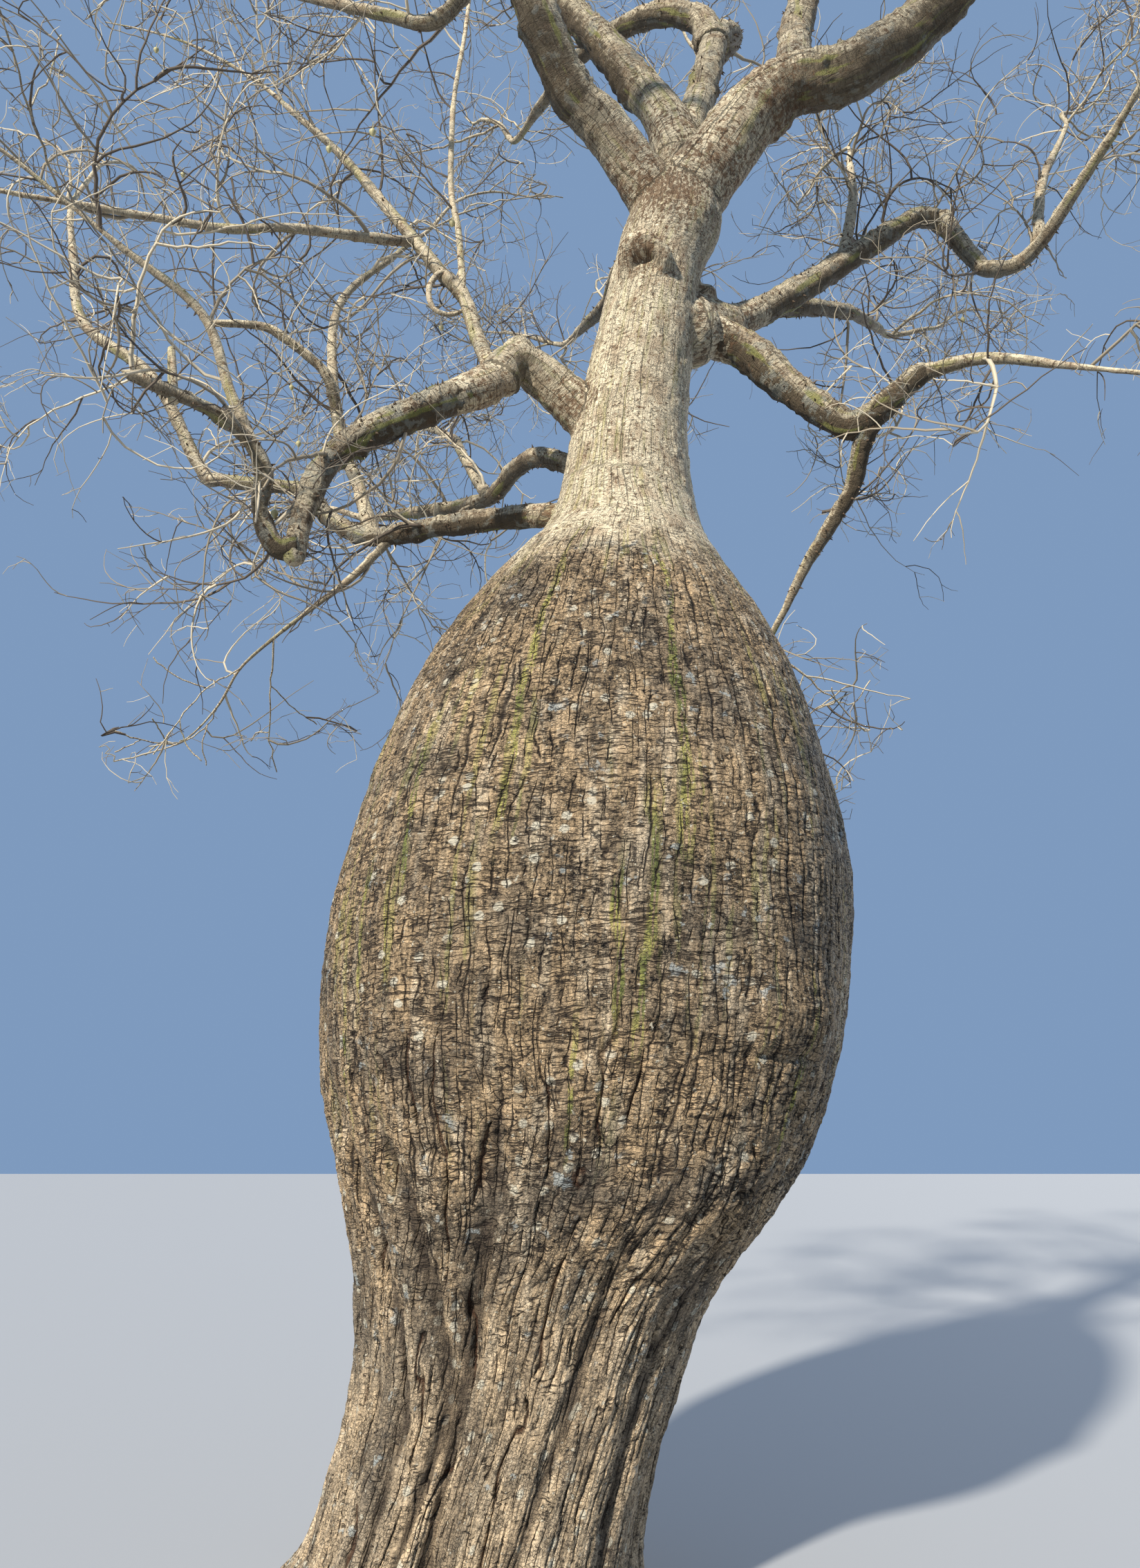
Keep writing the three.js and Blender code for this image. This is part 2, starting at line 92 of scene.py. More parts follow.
class Desk:
    def __init__(self, tree):
        self.tree = tree

    # settings first, then the values or links of the inputs
    def node(self, kind, settings=None, inputs=None):
        made = self.tree.nodes.new(kind)
        for name, value in (settings or {}).items():
            setattr(made, name, value)
        for key, value in (inputs or {}).items():
            if isinstance(value, Term):
                value = value.socket
            if isinstance(value, bpy.types.NodeSocket):
                self.tree.links.new(value, made.inputs[key])
            else:
                made.inputs[key].default_value = value
        return made

    def maths(self, operation, *values):
        made = self.node("ShaderNodeMath", {"operation": operation}, dict(enumerate(values)))
        return Term(self, made.outputs[0])

    # a sum or product of numbers, places and colours
    def join(self, operation, first, second):
        arrows = [x for x in (first, second) if isinstance(x, tuple) or getattr(x, "vector", False)]
        if not arrows:
            return self.maths(operation, first, second)
        if len(arrows) == 2:
            made = self.node("ShaderNodeVectorMath", {"operation": operation}, {0: first, 1: second})
        else:
            number = second if arrows[0] is first else first
            made = self.node("ShaderNodeVectorMath", {"operation": "SCALE"},
                             {0: arrows[0], "Scale": number})
        return Term(self, made.outputs[0], True)

    def most(self, first, second):
        return self.join("MAXIMUM", first, second)

    # how far a value is from zero
    def size(self, value):
        return self.maths("ABSOLUTE", value)

    # a smooth step from 0 at low to 1 at high
    def rise(self, value, low, high):
        made = self.node("ShaderNodeMapRange", {"interpolation_type": "SMOOTHSTEP"},
                         {"Value": value, "From Min": low, "From Max": high})
        return Term(self, made.outputs["Result"])

    def noise(self, place, size, detail=2.0, roughness=0.5):
        made = self.node("ShaderNodeTexNoise", {},
                         {"Vector": place, "Scale": 1 / size, "Detail": detail, "Roughness": roughness})
        return Term(self, made.outputs["Fac"])

    # the place in units of that size across and along the trunk or limb
    def stretched(self, place, across, along):
        return place * ((1 / across, 1 / along, 1) if place.flat else (1 / across, 1 / across, 1 / along))

    # a noise stretched along the trunk or limb
    def grain(self, place, across, along, detail=2.0):
        return self.noise(self.stretched(place, across, along), 1.0, detail)

    # a noise of the table
    def look(self, name, place):
        across, along, detail, roughness = noises[name][:4]
        if name in shifts:
            place = place + shifts[name]
        if along is None:
            return self.noise(place, across, detail, roughness)
        return self.grain(place, across, along, detail)

    # a noise of the table as patches: from 0 to 1 between its last two numbers
    def patches(self, name, place):
        return self.rise(self.look(name, place), *noises[name][4:])

    # a noise of the table that swings round zero, by half its last number each way
    def wave(self, name, place):
        return (self.look(name, place) - 0.5) * noises[name][4]

    # 1 where a distance is 0, and down to 0 at that width
    def cut(self, distance, width):
        return 1 - self.rise(distance, 0.0, width)

    # the place, moved about by a noise of that size
    def wander(self, place, size, amount):
        made = self.node("ShaderNodeTexNoise", {}, {"Vector": place, "Scale": 1 / size, "Detail": 1.0})
        drift = Term(self, made.outputs["Color"], True) - (0.5, 0.5, 0.5)
        moved = place + drift * (2 * amount)
        moved.flat = place.flat
        return moved

    # cells of bark on the sheet or in space: the distance to the nearest crack in metres
    def cracks(self, place, across, along):
        made = self.cells("DISTANCE_TO_EDGE", place, across, along)
        return Term(self, made.outputs["Distance"]) * min(across, along)

    # the same cells: the distance to their middle in metres, and a number between 0 and 1 for each
    def plates(self, place, across, along):
        made = self.cells("F1", place, across, along)
        middle = Term(self, made.outputs["Distance"]) * min(across, along)
        return middle, self.across(made.outputs["Color"])

    def cells(self, feature, place, across, along):
        return self.node("ShaderNodeTexVoronoi", {
            "feature": feature, "voronoi_dimensions": "2D" if place.flat else "3D"}, {
            "Vector": self.stretched(place, across, along), "Scale": 1.0, "Randomness": jitter["cells"]})

    # the distance in metres to the nearest of a row of lines with that spacing
    def lines(self, across, spacing):
        made = self.node("ShaderNodeTexVoronoi", {
            "feature": "DISTANCE_TO_EDGE", "voronoi_dimensions": "1D"}, {
            "W": across * (1 / spacing), "Scale": 1.0, "Randomness": jitter["lines"]})
        return Term(self, made.outputs["Distance"]) * spacing

    def split(self, place):
        made = self.node("ShaderNodeSeparateXYZ", {}, {0: place})
        return [Term(self, socket) for socket in made.outputs[:3]]

    def across(self, place):
        return self.split(place)[0]

    def height(self, place):
        return self.split(place)[2]

    def blend(self, factor, first, second):
        made = self.node("ShaderNodeMix", {"data_type": "RGBA"}, {0: factor, 6: first, 7: second})
        return Term(self, made.outputs[2])

    # colours laid over a ground one after another, each by its own share
    def layered(self, ground, layers):
        for share, colour in layers:
            ground = self.blend(share, ground, colour)
        return ground

    # a colour made lighter or darker by a factor that varies over the surface
    def shaded(self, colour, factor):
        made = self.node("ShaderNodeVectorMath", {"operation": "SCALE"}, {0: colour, "Scale": factor})
        return Term(self, made.outputs[0])


# faces between rows of points round a body, and fans to its two end points, which follow the rows
def facesOf(rows, sides):
    start, ring = np.arange(rows - 1)[:, None] * sides, np.arange(sides)
    after = (ring + 1) % sides
    quads = np.stack([start + ring, start + after, start + sides + after, start + sides + ring], axis=-1)
    last, count = (rows - 1) * sides, rows * sides
    foot = np.stack([after, ring, np.full(sides, count)], axis=-1)
    tip = np.stack([last + ring, last + after, np.full(sides, count + 1)], axis=-1)
    return quads.reshape(-1, 4), np.concatenate([foot, tip])


def turnsOf(sides):
    return np.arange(sides) * 2 * math.pi / sides


def meshOf(name, verts, quads, tris, marks):
    mesh = bpy.data.meshes.new(name)
    corners = np.concatenate([np.ravel(quads), np.ravel(tris)]).astype(np.int32)
    sizes = np.concatenate([np.full(len(quads), 4), np.full(len(tris), 3)])
    starts = np.concatenate([[0], np.cumsum(sizes)[:-1]]).astype(np.int32)
    mesh.vertices.add(len(verts))
    mesh.vertices.foreach_set("co", np.ravel(verts).astype(np.float32))
    mesh.loops.add(len(corners))
    mesh.loops.foreach_set("vertex_index", corners)
    mesh.polygons.add(len(sizes))
    mesh.polygons.foreach_set("loop_start", starts)
    mesh.update(calc_edges=True)
    markMesh(mesh, marks)
    mesh.shade_smooth()
    return mesh


# numbers or vectors kept on the points of a mesh
def markMesh(mesh, marks):
    for name, values in marks.items():
        kind, key = ("FLOAT_VECTOR", "vector") if np.ndim(values) == 2 else ("FLOAT", "value")
        mark = mesh.attributes.new(name, kind, "POINT")
        mark.data.foreach_set(key, np.ravel(values).astype(np.float32))


def pieceOf(name, mesh):
    piece = bpy.data.objects.new(name, mesh)
    scene.collection.objects.link(piece)
    return piece


# runs a tree of geometry nodes on a piece, with its named sizes, and keeps the result as a mesh
def shapeBy(piece, tree, sizes):
    modifier = piece.modifiers.new("shape", "NODES")
    modifier.node_group = tree
    for item in tree.interface.items_tree:
        if item.in_out == "INPUT" and item.name in sizes:
            modifier[item.identifier] = sizes[item.name]
    keepShape(piece)


def keepShape(piece):
    graph = bpy.context.evaluated_depsgraph_get()
    shaped = bpy.data.meshes.new_from_object(
        piece.evaluated_get(graph), preserve_all_data_layers=True, depsgraph=graph)
    piece.modifiers.clear()
    piece.data = shaped


# a tree of geometry nodes with these inputs, its desk, and the inputs as terms
def newShape(name, inputs):
    tree = bpy.data.node_groups.new(name, "GeometryNodeTree")
    tree.interface.new_socket("Geometry", in_out="INPUT", socket_type="NodeSocketGeometry")
    tree.interface.new_socket("Geometry", in_out="OUTPUT", socket_type="NodeSocketGeometry")
    for label, kind in inputs.items():
        tree.interface.new_socket(label, in_out="INPUT", socket_type=kind)
    desk = Desk(tree)
    given = tree.nodes.new("NodeGroupInput").outputs
    return tree, desk, {socket.name: Term(desk, socket) for socket in given if socket.name}


# a number or vector kept on the points, in a tree of geometry nodes
def readMark(desk, name, vector=False):
    kind = "FLOAT_VECTOR" if vector else "FLOAT"
    made = desk.node("GeometryNodeInputNamedAttribute", {"data_type": kind}, {"Name": name})
    return Term(desk, made.outputs["Attribute"], vector)


# the tree itself, by the rule of its solids: sizes in millimetres as there

trunk = {
    # height above the ground, sideways lean of the axis, radius
    "stations": [
        [0, 0, 715], [170, 55, 636], [450, 130, 622], [760, 225, 648], [1100, 300, 735],
        [1500, 420, 925], [1940, 470, 1065], [2400, 500, 1105], [2880, 540, 1062], [3400, 570, 925],
        [3800, 600, 752], [4150, 630, 535], [4440, 680, 356], [4900, 710, 284], [5440, 790, 250],
        [5860, 860, 230], [6200, 960, 252], [6520, 1010, 180], [6780, 1020, 112]],
    "top": 6780,
    "samples": 1501,
    "foldsAtFoot": 0.1,  # depth of the folds as a share of the radius
    "foldsFade": 1900,  # height over which the folds fade out
    "drift": [5600, 100],  # from this height up the axis moves back, so far at the top
    "scar": {"height": 5820, "azimuth": -108, "radius": 122, "proud": 84},  # healed limb scar
}

limb = {
    "taper": 1.35,  # above 1 a limb keeps its girth first and thins towards the tip
    "collar": 0.28, "collarLength": 2.2,  # swelling at the root, and its length in root radii
    "stride": 330, "fineSteps": 8,  # longest stretch between two rings, and finer steps between knees
    # limbs without knees: where they bend, how far they sway, how their rise slows down
    "sweepShares": (0.34, 0.68, 1), "sweepSway": 0.24, "sweepRise": 0.8, "sweepSeed": 401,
}

space = {"ahead": 0.72, "outward": 0.6, "firstSeed": 1000, "seedStep": 137}

twig = {
    "steps": [5, 3, 2],  # straight lengths in the stem, a side twig and its own side twigs
    "share": [1.6, 0.6, 0.55],  # length: of the space's radius, then of the parent twig
    "shorter": 0.4,  # how much shorter the side twigs get towards the parent's tip
    "thickness": [0.8, 0.6, 0.62],  # root radius: of the bough's tip, then of the parent there
    "taper": 0.8, "tip": 3.6,  # share of the radius lost to the tip, and the thinnest radius
    "fork": [0.75, 1.15],  # angle off the parent, in radians
    "bend": 0.5, "curl": 0.8,  # random turn at each step, and the share of it that is kept all along
    "outward": 0.16, "lift": 0.05,  # pull away from the middle of the crown, and up
    "wind": [2.4, 0.6],  # turn of each side twig round its parent from the last, and its spread
    "spread": [0.8, 1.2],  # variation of a side twig's length
    "tries": [80, 8, 5], "firstTry": 50,
    "clearance": 22, "probe": 60,  # from any limb or the next space, and between two tests for it
}
seatGap = 0.3  # clearance between a mass and its bough

crownMiddle = np.array([700.0, 0.0, 6300.0])
up = np.array([0.0, 0.0, 1.0])

# what carries a bough, how far along (a height for the trunk, else a share of the length), its girth at the
# root and tip, how it ends (the reach of its twigs, or round), and its knees or azimuth, reach and rise
boughTable = {
    "left": ["trunk", 4820, 118, 84, "round", [[420, -50, 5090], [180, -120, 5260], [40, -200, 5080]]],
    "left_arch": ["left", 1, 80, 44, "round", [[-350, -380, 4770], [-610, -500, 4510],
        [-700, -560, 4240], [-730, -600, 3970]]],
    "left_hook": ["left_arch", 0.97, 40, 22, "open", [[-810, -620, 4010], [-870, -650, 4150],
        [-860, -700, 4330], [-1000, -800, 4490], [-1330, -1000, 4560]]],
    "left_front": ["left_hook", 0.42, 26, 15, 950, [[-1020, -720, 4680], [-1150, -780, 5020],
        [-1480, -900, 5260]]],
    "left_riser": ["left", 0.96, 40, 19, 1150, [[-40, -100, 5430], [-130, 0, 5750], [-300, 100, 6030],
        [-890, 500, 7090], [-1300, 700, 7670]]],
    "left_level": ["left_riser", 0.42, 27, 16, 1000, [[-560, 0, 6090], [-990, -200, 5980],
        [-1290, -300, 5890], [-1920, -500, 5850]]],
    "low_left": ["trunk", 4400, 62, 46, "round", [[340, 100, 4550], [-270, 400, 4650],
        [-650, 600, 4700], [-930, 780, 4920]]],
    "low_left_outer": ["low_left", 1, 40, 28, 1250, [[-1100, 850, 5130], [-1540, 850, 5190],
        [-1690, 880, 5280], [-2060, 950, 5940], [-2540, 1000, 6360], [-2720, 1100, 6970]]],
    "low_left_riser": ["low_left", 0.78, 38, 18, 1000, [[-740, 700, 5040], [-910, 800, 5540],
        [-1000, 1000, 6460], [-670, 1200, 7060]]],
    "low_left_drooping": ["low_left", 0.7, 24, 14, 780, [[-720, 600, 4480], [-950, 640, 4300]]],
    "back_left": ["trunk", 4640, 56, 34, 1200, [[290, 400, 5060], [120, 700, 5170], [-110, 1100, 5200],
        [-760, 1900, 5560]]],
    "back_left_riser": ["back_left", 0.55, 34, 20, 1150, (108, 1700, 1500)],
    "right_shoulder": ["trunk", 5560, 165, 120, "round", [[1060, 160, 5690], [1230, 260, 5740]]],
    "right": ["right_shoulder", 0.9, 80, 54, "round", [[1530, 350, 5970], [2310, 550, 6650],
        [2460, 600, 6770], [2600, 620, 6770]]],
    "right_outer": ["right", 1, 52, 24, 1150, [[2730, 550, 6450], [2800, 500, 6330], [3000, 400, 6360],
        [3250, -100, 6650]]],
    "right_riser": ["right_outer", 0.58, 33, 22, 1150, [[3110, 500, 6680], [3210, 600, 7030],
        [3360, 700, 7340]]],
    "right_spur": ["right", 0.55, 34, 19, 1050, (62, 800, 1450)],
    "low_right": ["right_shoulder", 0.45, 100, 52, "round", [[1300, 100, 5500], [1570, 0, 5150],
        [1690, -50, 5000], [1820, -100, 4940], [2090, -200, 5140]]],
    "low_right_outer": ["low_right", 1, 34, 15, 1050, [[2380, -300, 5150], [2680, -500, 4960]]],
    "low_right_hanging": ["low_right", 0.8, 46, 19, 700, [[1820, -40, 4800], [1780, 50, 4640],
        [1600, 250, 4370], [1500, 350, 4170]]],
    "back_right": ["right_shoulder", 0.7, 70, 30, 1250, (52, 2500, 1500)],
    "upper_right": ["trunk", 6330, 165, 48, 1250, [[1250, -50, 6640], [1400, -100, 6820],
        [1580, -150, 6920], [1920, -250, 6950], [2350, -350, 7270], [3000, -900, 7900],
        [3400, -1500, 8350]]],
    "upper_right_riser": ["upper_right", 0.24, 92, 40, 1150, [[1650, -50, 7400], [1710, 0, 7690],
        [1800, 150, 8500], [1700, 100, 9300]]],
    "front_right": ["upper_right_riser", 0.5, 60, 28, 1150, (-78, 1900, 700)],
    "front_left": ["trunk", 6230, 128, 42, 1250, [[610, -120, 6670], [440, -200, 6820],
        [280, -330, 7100], [140, -450, 7420], [-350, -1200, 8150], [-1000, -1900, 8500]]],
    "front_left_loop": ["front_left", 0.4, 42, 26, 1000, [[-20, -450, 7330], [-270, -350, 7130],
        [-550, -250, 7290], [-930, -150, 7510]]],
    "front": ["front_left", 0.62, 58, 28, 1150, (-72, 1500, 750)],
    "upper_left": ["trunk", 6700, 116, 44, 1200, [[940, 150, 7040], [790, 250, 7390], [440, 450, 8150],
        [0, 700, 8900], [-500, 850, 9350]]],
    "middle": ["trunk", 6720, 92, 44, 1200, [[1160, 250, 7290], [1320, 550, 8060], [1520, 1100, 8700],
        [1500, 1700, 9150]]],
    "middle_left": ["middle", 0.42, 82, 36, 1200, [[1200, 600, 8280], [910, 800, 8520],
        [520, 1350, 8850], [150, 2050, 9050]]],
    "back": ["trunk", 6060, 84, 32, 1250, (96, 2300, 1250)],
}
boughs = []
for name, (on, at, base, tip, end, course) in boughTable.items():
    carrier = on if on == "trunk" else "bough_" + on
    boughs.append({"name": "bough_" + name, "on": carrier, "at": at, "base": base, "tip": tip,
                   "end": end, "course": course})
boughNames = [bough["name"] for bough in boughs]


def unit(v):
    return v / np.linalg.norm(v)


def between(pair, share):
    return pair[0] + (pair[1] - pair[0]) * share


# an even-handed curve through knots, the same at both ends as in the solids' source
def curvePoint(knots, share):
    place = (len(knots) - 1) * share
    i = min(int(place), len(knots) - 2)
    w = place - i
    a, b = knots[i], knots[i + 1]
    before = knots[i - 1] if i > 0 else 2 * a - b
    after = knots[i + 2] if i + 2 < len(knots) else 2 * b - a
    leave, arrive = (b - before) / 2, (after - a) / 2
    square, cube = 3 * (b - a) - 2 * leave - arrive, 2 * (a - b) + leave + arrive
    return a + leave * w + square * w ** 2 + cube * w ** 3


diceFactor, diceRange = 16807, 2147483647


# the same row of numbers between 0 and 1 as in the solids' source
def dice(seed):
    state = [seed]

    def throw():
        state[0] = (state[0] * diceFactor) % diceRange
        return state[0] / diceRange
    return throw


def childSeed(seed, index):
    return (seed * 31 + index * 7919 + 1) % diceRange


def wobble(random):
    return np.array([random() * 2 - 1, random() * 2 - 1, random() * 2 - 1])


def turned(v, axis, angle):
    across = np.cross(axis, v)
    return v * math.cos(angle) + across * math.sin(angle) + axis * (axis @ v) * (1 - math.cos(angle))


def smooth(low, high, x):
    t = np.clip((x - low) / (high - low), 0, 1)
    return t * t * (3 - 2 * t)


trunkKnots = [np.array([lean, radius, height], dtype=float) for height, lean, radius in trunk["stations"]]
trunkRows = np.array([curvePoint(trunkKnots, share) for share in np.linspace(0, 1, trunk["samples"])]) * mm


# lean, drift and radius of the trunk at heights in metres
def trunkAt(height):
    lean = np.interp(height, trunkRows[:, 2], trunkRows[:, 0])
    radius = np.interp(height, trunkRows[:, 2], trunkRows[:, 1])
    back = trunk["drift"][1] * mm * smooth(trunk["drift"][0] * mm, trunk["top"] * mm, height)
    return lean, back, radius


def trunkCentre(height):
    lean, back, radius = trunkAt(height * mm)
    return np.array([lean, back, height * mm]) / mm, float(radius) / mm


def lengthsAlong(points):
    return np.concatenate([[0], np.cumsum(np.linalg.norm(np.diff(points, axis=0), axis=1))])


def pointAlong(points, share):
    lengths = lengthsAlong(points)
    return np.array([np.interp(share * lengths[-1], lengths, points[:, k]) for k in range(3)])


# the knees of a bough that is given by its azimuth, reach and rise
def sweep(root, course, random):
    azimuth, reach, rise = course
    angle = math.radians(azimuth)
    knees = []
    for share in limb["sweepShares"]:
        sway = (random() - 0.5) * limb["sweepSway"] * reach * share
        knees.append(root + np.array([
            math.cos(angle) * reach * share - math.sin(angle) * sway,
            math.sin(angle) * reach * share + math.cos(angle) * sway,
            rise * share ** limb["sweepRise"]]))
    return knees


def girthAlong(bough, lengths, whole):
    collar = 1 + limb["collar"] * np.exp(-lengths / (bough["base"] * limb["collarLength"]))
    return (bough["base"] + (bough["tip"] - bough["base"]) * (lengths / whole) ** limb["taper"]) * collar


# the bends of a bough as in the solids, and a finer row of points along the same curve
def shapeBough(bough, index, shapes):
    if bough["on"] == "trunk":
        root = trunkCentre(bough["at"])[0]
    else:
        root = pointAlong(shapes[bough["on"]]["points"], bough["at"])
    if isinstance(bough["course"], tuple):
        knees = sweep(root, bough["course"], dice(childSeed(limb["sweepSeed"], index)))
    else:
        knees = [np.array(knee, dtype=float) for knee in bough["course"]]
    knots = [root] + knees
    points, fine = [root], [root]
    for span, knee in enumerate(knees):
        count = max(1, math.floor(np.linalg.norm(knee - knots[span]) / limb["stride"] + 0.5))
        for k in range(1, count + 1):
            points.append(curvePoint(knots, (span + k / count) / len(knees)))
        for k in range(1, limb["fineSteps"] + 1):
            fine.append(curvePoint(knots, (span + k / limb["fineSteps"]) / len(knees)))
    points, fine = np.array(points), np.array(fine)
    lengths = lengthsAlong(points)
    return {"points": points, "radii": girthAlong(bough, lengths, lengths[-1]), "fine": fine}


shapes = {}
for index, bough in enumerate(boughs):
    shapes[bough["name"]] = shapeBough(bough, index, shapes)

# balls along the trunk and the boughs, which the twigs stay clear of
beads = {"centre": [], "radius": [], "owner": []}
beadStep = 60
for height in range(0, trunk["top"] + 1, beadStep):
    centre, radius = trunkCentre(height)
    beads["centre"].append(centre)
    beads["radius"].append(radius)
    beads["owner"].append(-1)
for owner, name in enumerate(boughNames):
    points, radii = shapes[name]["points"], shapes[name]["radii"]
    for i in range(1, len(points)):
        count = math.ceil(np.linalg.norm(points[i] - points[i - 1]) / beadStep)
        for k in range(1, count + 1):
            beads["centre"].append(points[i - 1] + (points[i] - points[i - 1]) * (k / count))
            beads["radius"].append(radii[i - 1] + (radii[i] - radii[i - 1]) * (k / count))
            beads["owner"].append(owner)
beads = {key: np.array(values) for key, values in beads.items()}

# the space of each mass of twigs: a ball ahead of its bough's tip
spaces = []
for bough in boughs:
    if isinstance(bough["end"], str):
        continue
    points, radii = shapes[bough["name"]]["points"], shapes[bough["name"]]["radii"]
    tip = points[-1]
    heading = unit(tip - points[-2])
    lead = unit(heading + unit(tip - crownMiddle) * space["outward"])
    spaces.append({
        "name": bough["name"].replace("bough", "twigs"), "bough": bough["name"],
        "owner": boughNames.index(bough["name"]), "tip": tip, "heading": heading, "tipRadius": radii[-1],
        "centre": tip + lead * (bough["end"] * space["ahead"]), "radius": bough["end"],
        "seed": space["firstSeed"] + len(spaces) * space["seedStep"]})
homes = np.array([home["centre"] for home in spaces])


# whether a twig of a mass may pass there: in its own space and clear of the limbs
def isClear(index, point, radius, besideOwner):
    home = spaces[index]
    away = np.linalg.norm(homes - point, axis=1)
    if away[index] > home["radius"] - radius:
        return False
    if np.any(np.delete(away, index) - away[index] < twig["clearance"]):
        return False
    gaps = np.linalg.norm(beads["centre"] - point, axis=1) - beads["radius"]
    if besideOwner:
        gaps = gaps[beads["owner"] != home["owner"]]
    return not np.any(gaps < radius + twig["clearance"])


def growTwig(index, root, heading, length, radius, level, seed):
    random = dice(seed)
    steps = twig["steps"][level]
    stride = length / steps
    points = [root]
    turn = heading
    curl = wobble(random)
    for step in range(steps):
        start = points[step]
        if step > 0 or level > 0:
            sway = wobble(random) + curl * twig["curl"]
            pull = unit(start - crownMiddle) * twig["outward"]
            turn = unit(turn + sway * twig["bend"] + pull + up * twig["lift"])
        end = start + turn * stride
        probes = math.ceil(stride / twig["probe"])
        for k in range(1, probes + 1):
            if not isClear(index, start + (end - start) * (k / probes), radius, level == 0 and step < 2):
                return None
        points.append(end)
    return points


# a twig of a mass and its side twigs, as in the solids
def branch(index, root, heading, length, radius, level, seed, found):
    points = None
    for attempt in range(twig["tries"][level]):
        trySeed = childSeed(seed, twig["firstTry"] + attempt)
        points = growTwig(index, root, heading, length, radius, level, trySeed)
        if points is not None:
            break
    if points is None:
        return
    steps = len(points) - 1
    radii = [max(twig["tip"], radius * (1 - twig["taper"] * i / steps)) for i in range(steps + 1)]
    found.append({"home": index, "level": level, "points": np.array(points), "radii": np.array(radii)})
    if level + 1 == len(twig["steps"]):
        return
    random = dice(seed)
    side = wobble(random)
    for knot in range(1, steps):
        along = unit(points[knot + 1] - points[knot - 1])
        side = turned(side, along, twig["wind"][0] + twig["wind"][1] * random())
        side = unit(side - along * (side @ along))
        fork = between(twig["fork"], random())
        start = along * math.cos(fork) + side * math.sin(fork)
        spread = between(twig["spread"], random())
        reach = length * twig["share"][level + 1] * (1 - twig["shorter"] * knot / steps) * spread
        girth = max(twig["tip"], radii[knot] * twig["thickness"][level + 1])
        branch(index, points[knot], start, reach, girth, level + 1, childSeed(seed, knot), found)


thickTwigs = []
for index, home in enumerate(spaces):
    foot = home["tip"] + home["heading"] * seatGap
    branch(index, foot, home["heading"], home["radius"] * twig["share"][0],
           home["tipRadius"] * twig["thickness"][0], 0, home["seed"], thickTwigs)
print("boughs:", len(shapes), "spaces:", len(spaces), "thick twigs:", len(thickTwigs))


# bark: the same patterns cut the relief and tint the surface. The sheet is the bark unrolled, in
# metres round and up; the place is the bark on a straightened trunk or limb

roughBark = {
    "slow": [0.30, 0.030], "quick": [0.024, 0.0055],  # size and amount of the two wanders
    # fissures, fine and strong cracks: spacing, half width, the values of their noise over which they
    # open, their least half width, and the values over which they show
    "fissure": [0.150, 0.0085, (0.45, 0.62), 0.0004, (0.44, 0.49)],
    "upright": [0.046, 0.0033, (0.36, 0.54), 0.0002, (0.36, 0.42)],
    "strong": [0.120, 0.0066, (0.50, 0.64), 0.0002, (0.49, 0.54)],
    "level": [0.115, 0.027, 0.042],  # across, along, half width as a share of the noise
    "flake": [0.019, 0.012, 0.0014],  # across, along, half width of the seams between
    "scale": [0.050, 0.062, 0.0022],  # the same for the scales of the lower belly
    "sheetEdge": 2.35,  # metres from the middle of a sheet to where the other one takes over
    "softness": {"finish": 1.0, "relief": 2.2},  # factor on the half widths in the tint and the relief
    "gloss": 0.28, "roughness": 0.86,
    "tan": (0.356, 0.255, 0.148, 1), "grey": (0.168, 0.133, 0.092, 1), "pale": (0.46, 0.375, 0.260, 1),
    "cream": (0.66, 0.570, 0.400, 1), "worn": (0.46, 0.365, 0.245, 1),
    "crack": (0.022, 0.015, 0.011, 1), "fissureTint": (0.085, 0.036, 0.016, 1),
    "vein": (0.40, 0.37, 0.105, 1), "moss": (0.150, 0.172, 0.046, 1),
    # the stain colour is for dark stains and painted shade, and for the seams
    "spot": (0.56, 0.520, 0.405, 1), "mist": (0.38, 0.42, 0.41, 1), "stain": (0.052, 0.046, 0.040, 1),
    # the colour of painted shade in the flutes of the foot
    "flute": (0.048, 0.035, 0.025, 1),
}

# what lies on the pale bark of the limbs; under is painted shade, the darker brown of their undersides
limbPatches = {
    "brown": (0.130, 0.084, 0.048, 1), "lichen": (0.36, 0.38, 0.33, 1), "moss": (0.30, 0.30, 0.09, 1),
    "scab": (0.150, 0.086, 0.045, 1), "under": (0.115, 0.088, 0.055, 1),
}

# heights in metres between which each kind of bark comes in or ends
levels = {
    "low": (2.35, 1.75), "foot": (1.5, 0.8), "belly": (1.6, 2.2), "shoulder": (3.6, 3.1),
    "neck": (3.86, 4.28), "veined": (1.3, 2.1), "ridged": (2.1, 1.1),
}

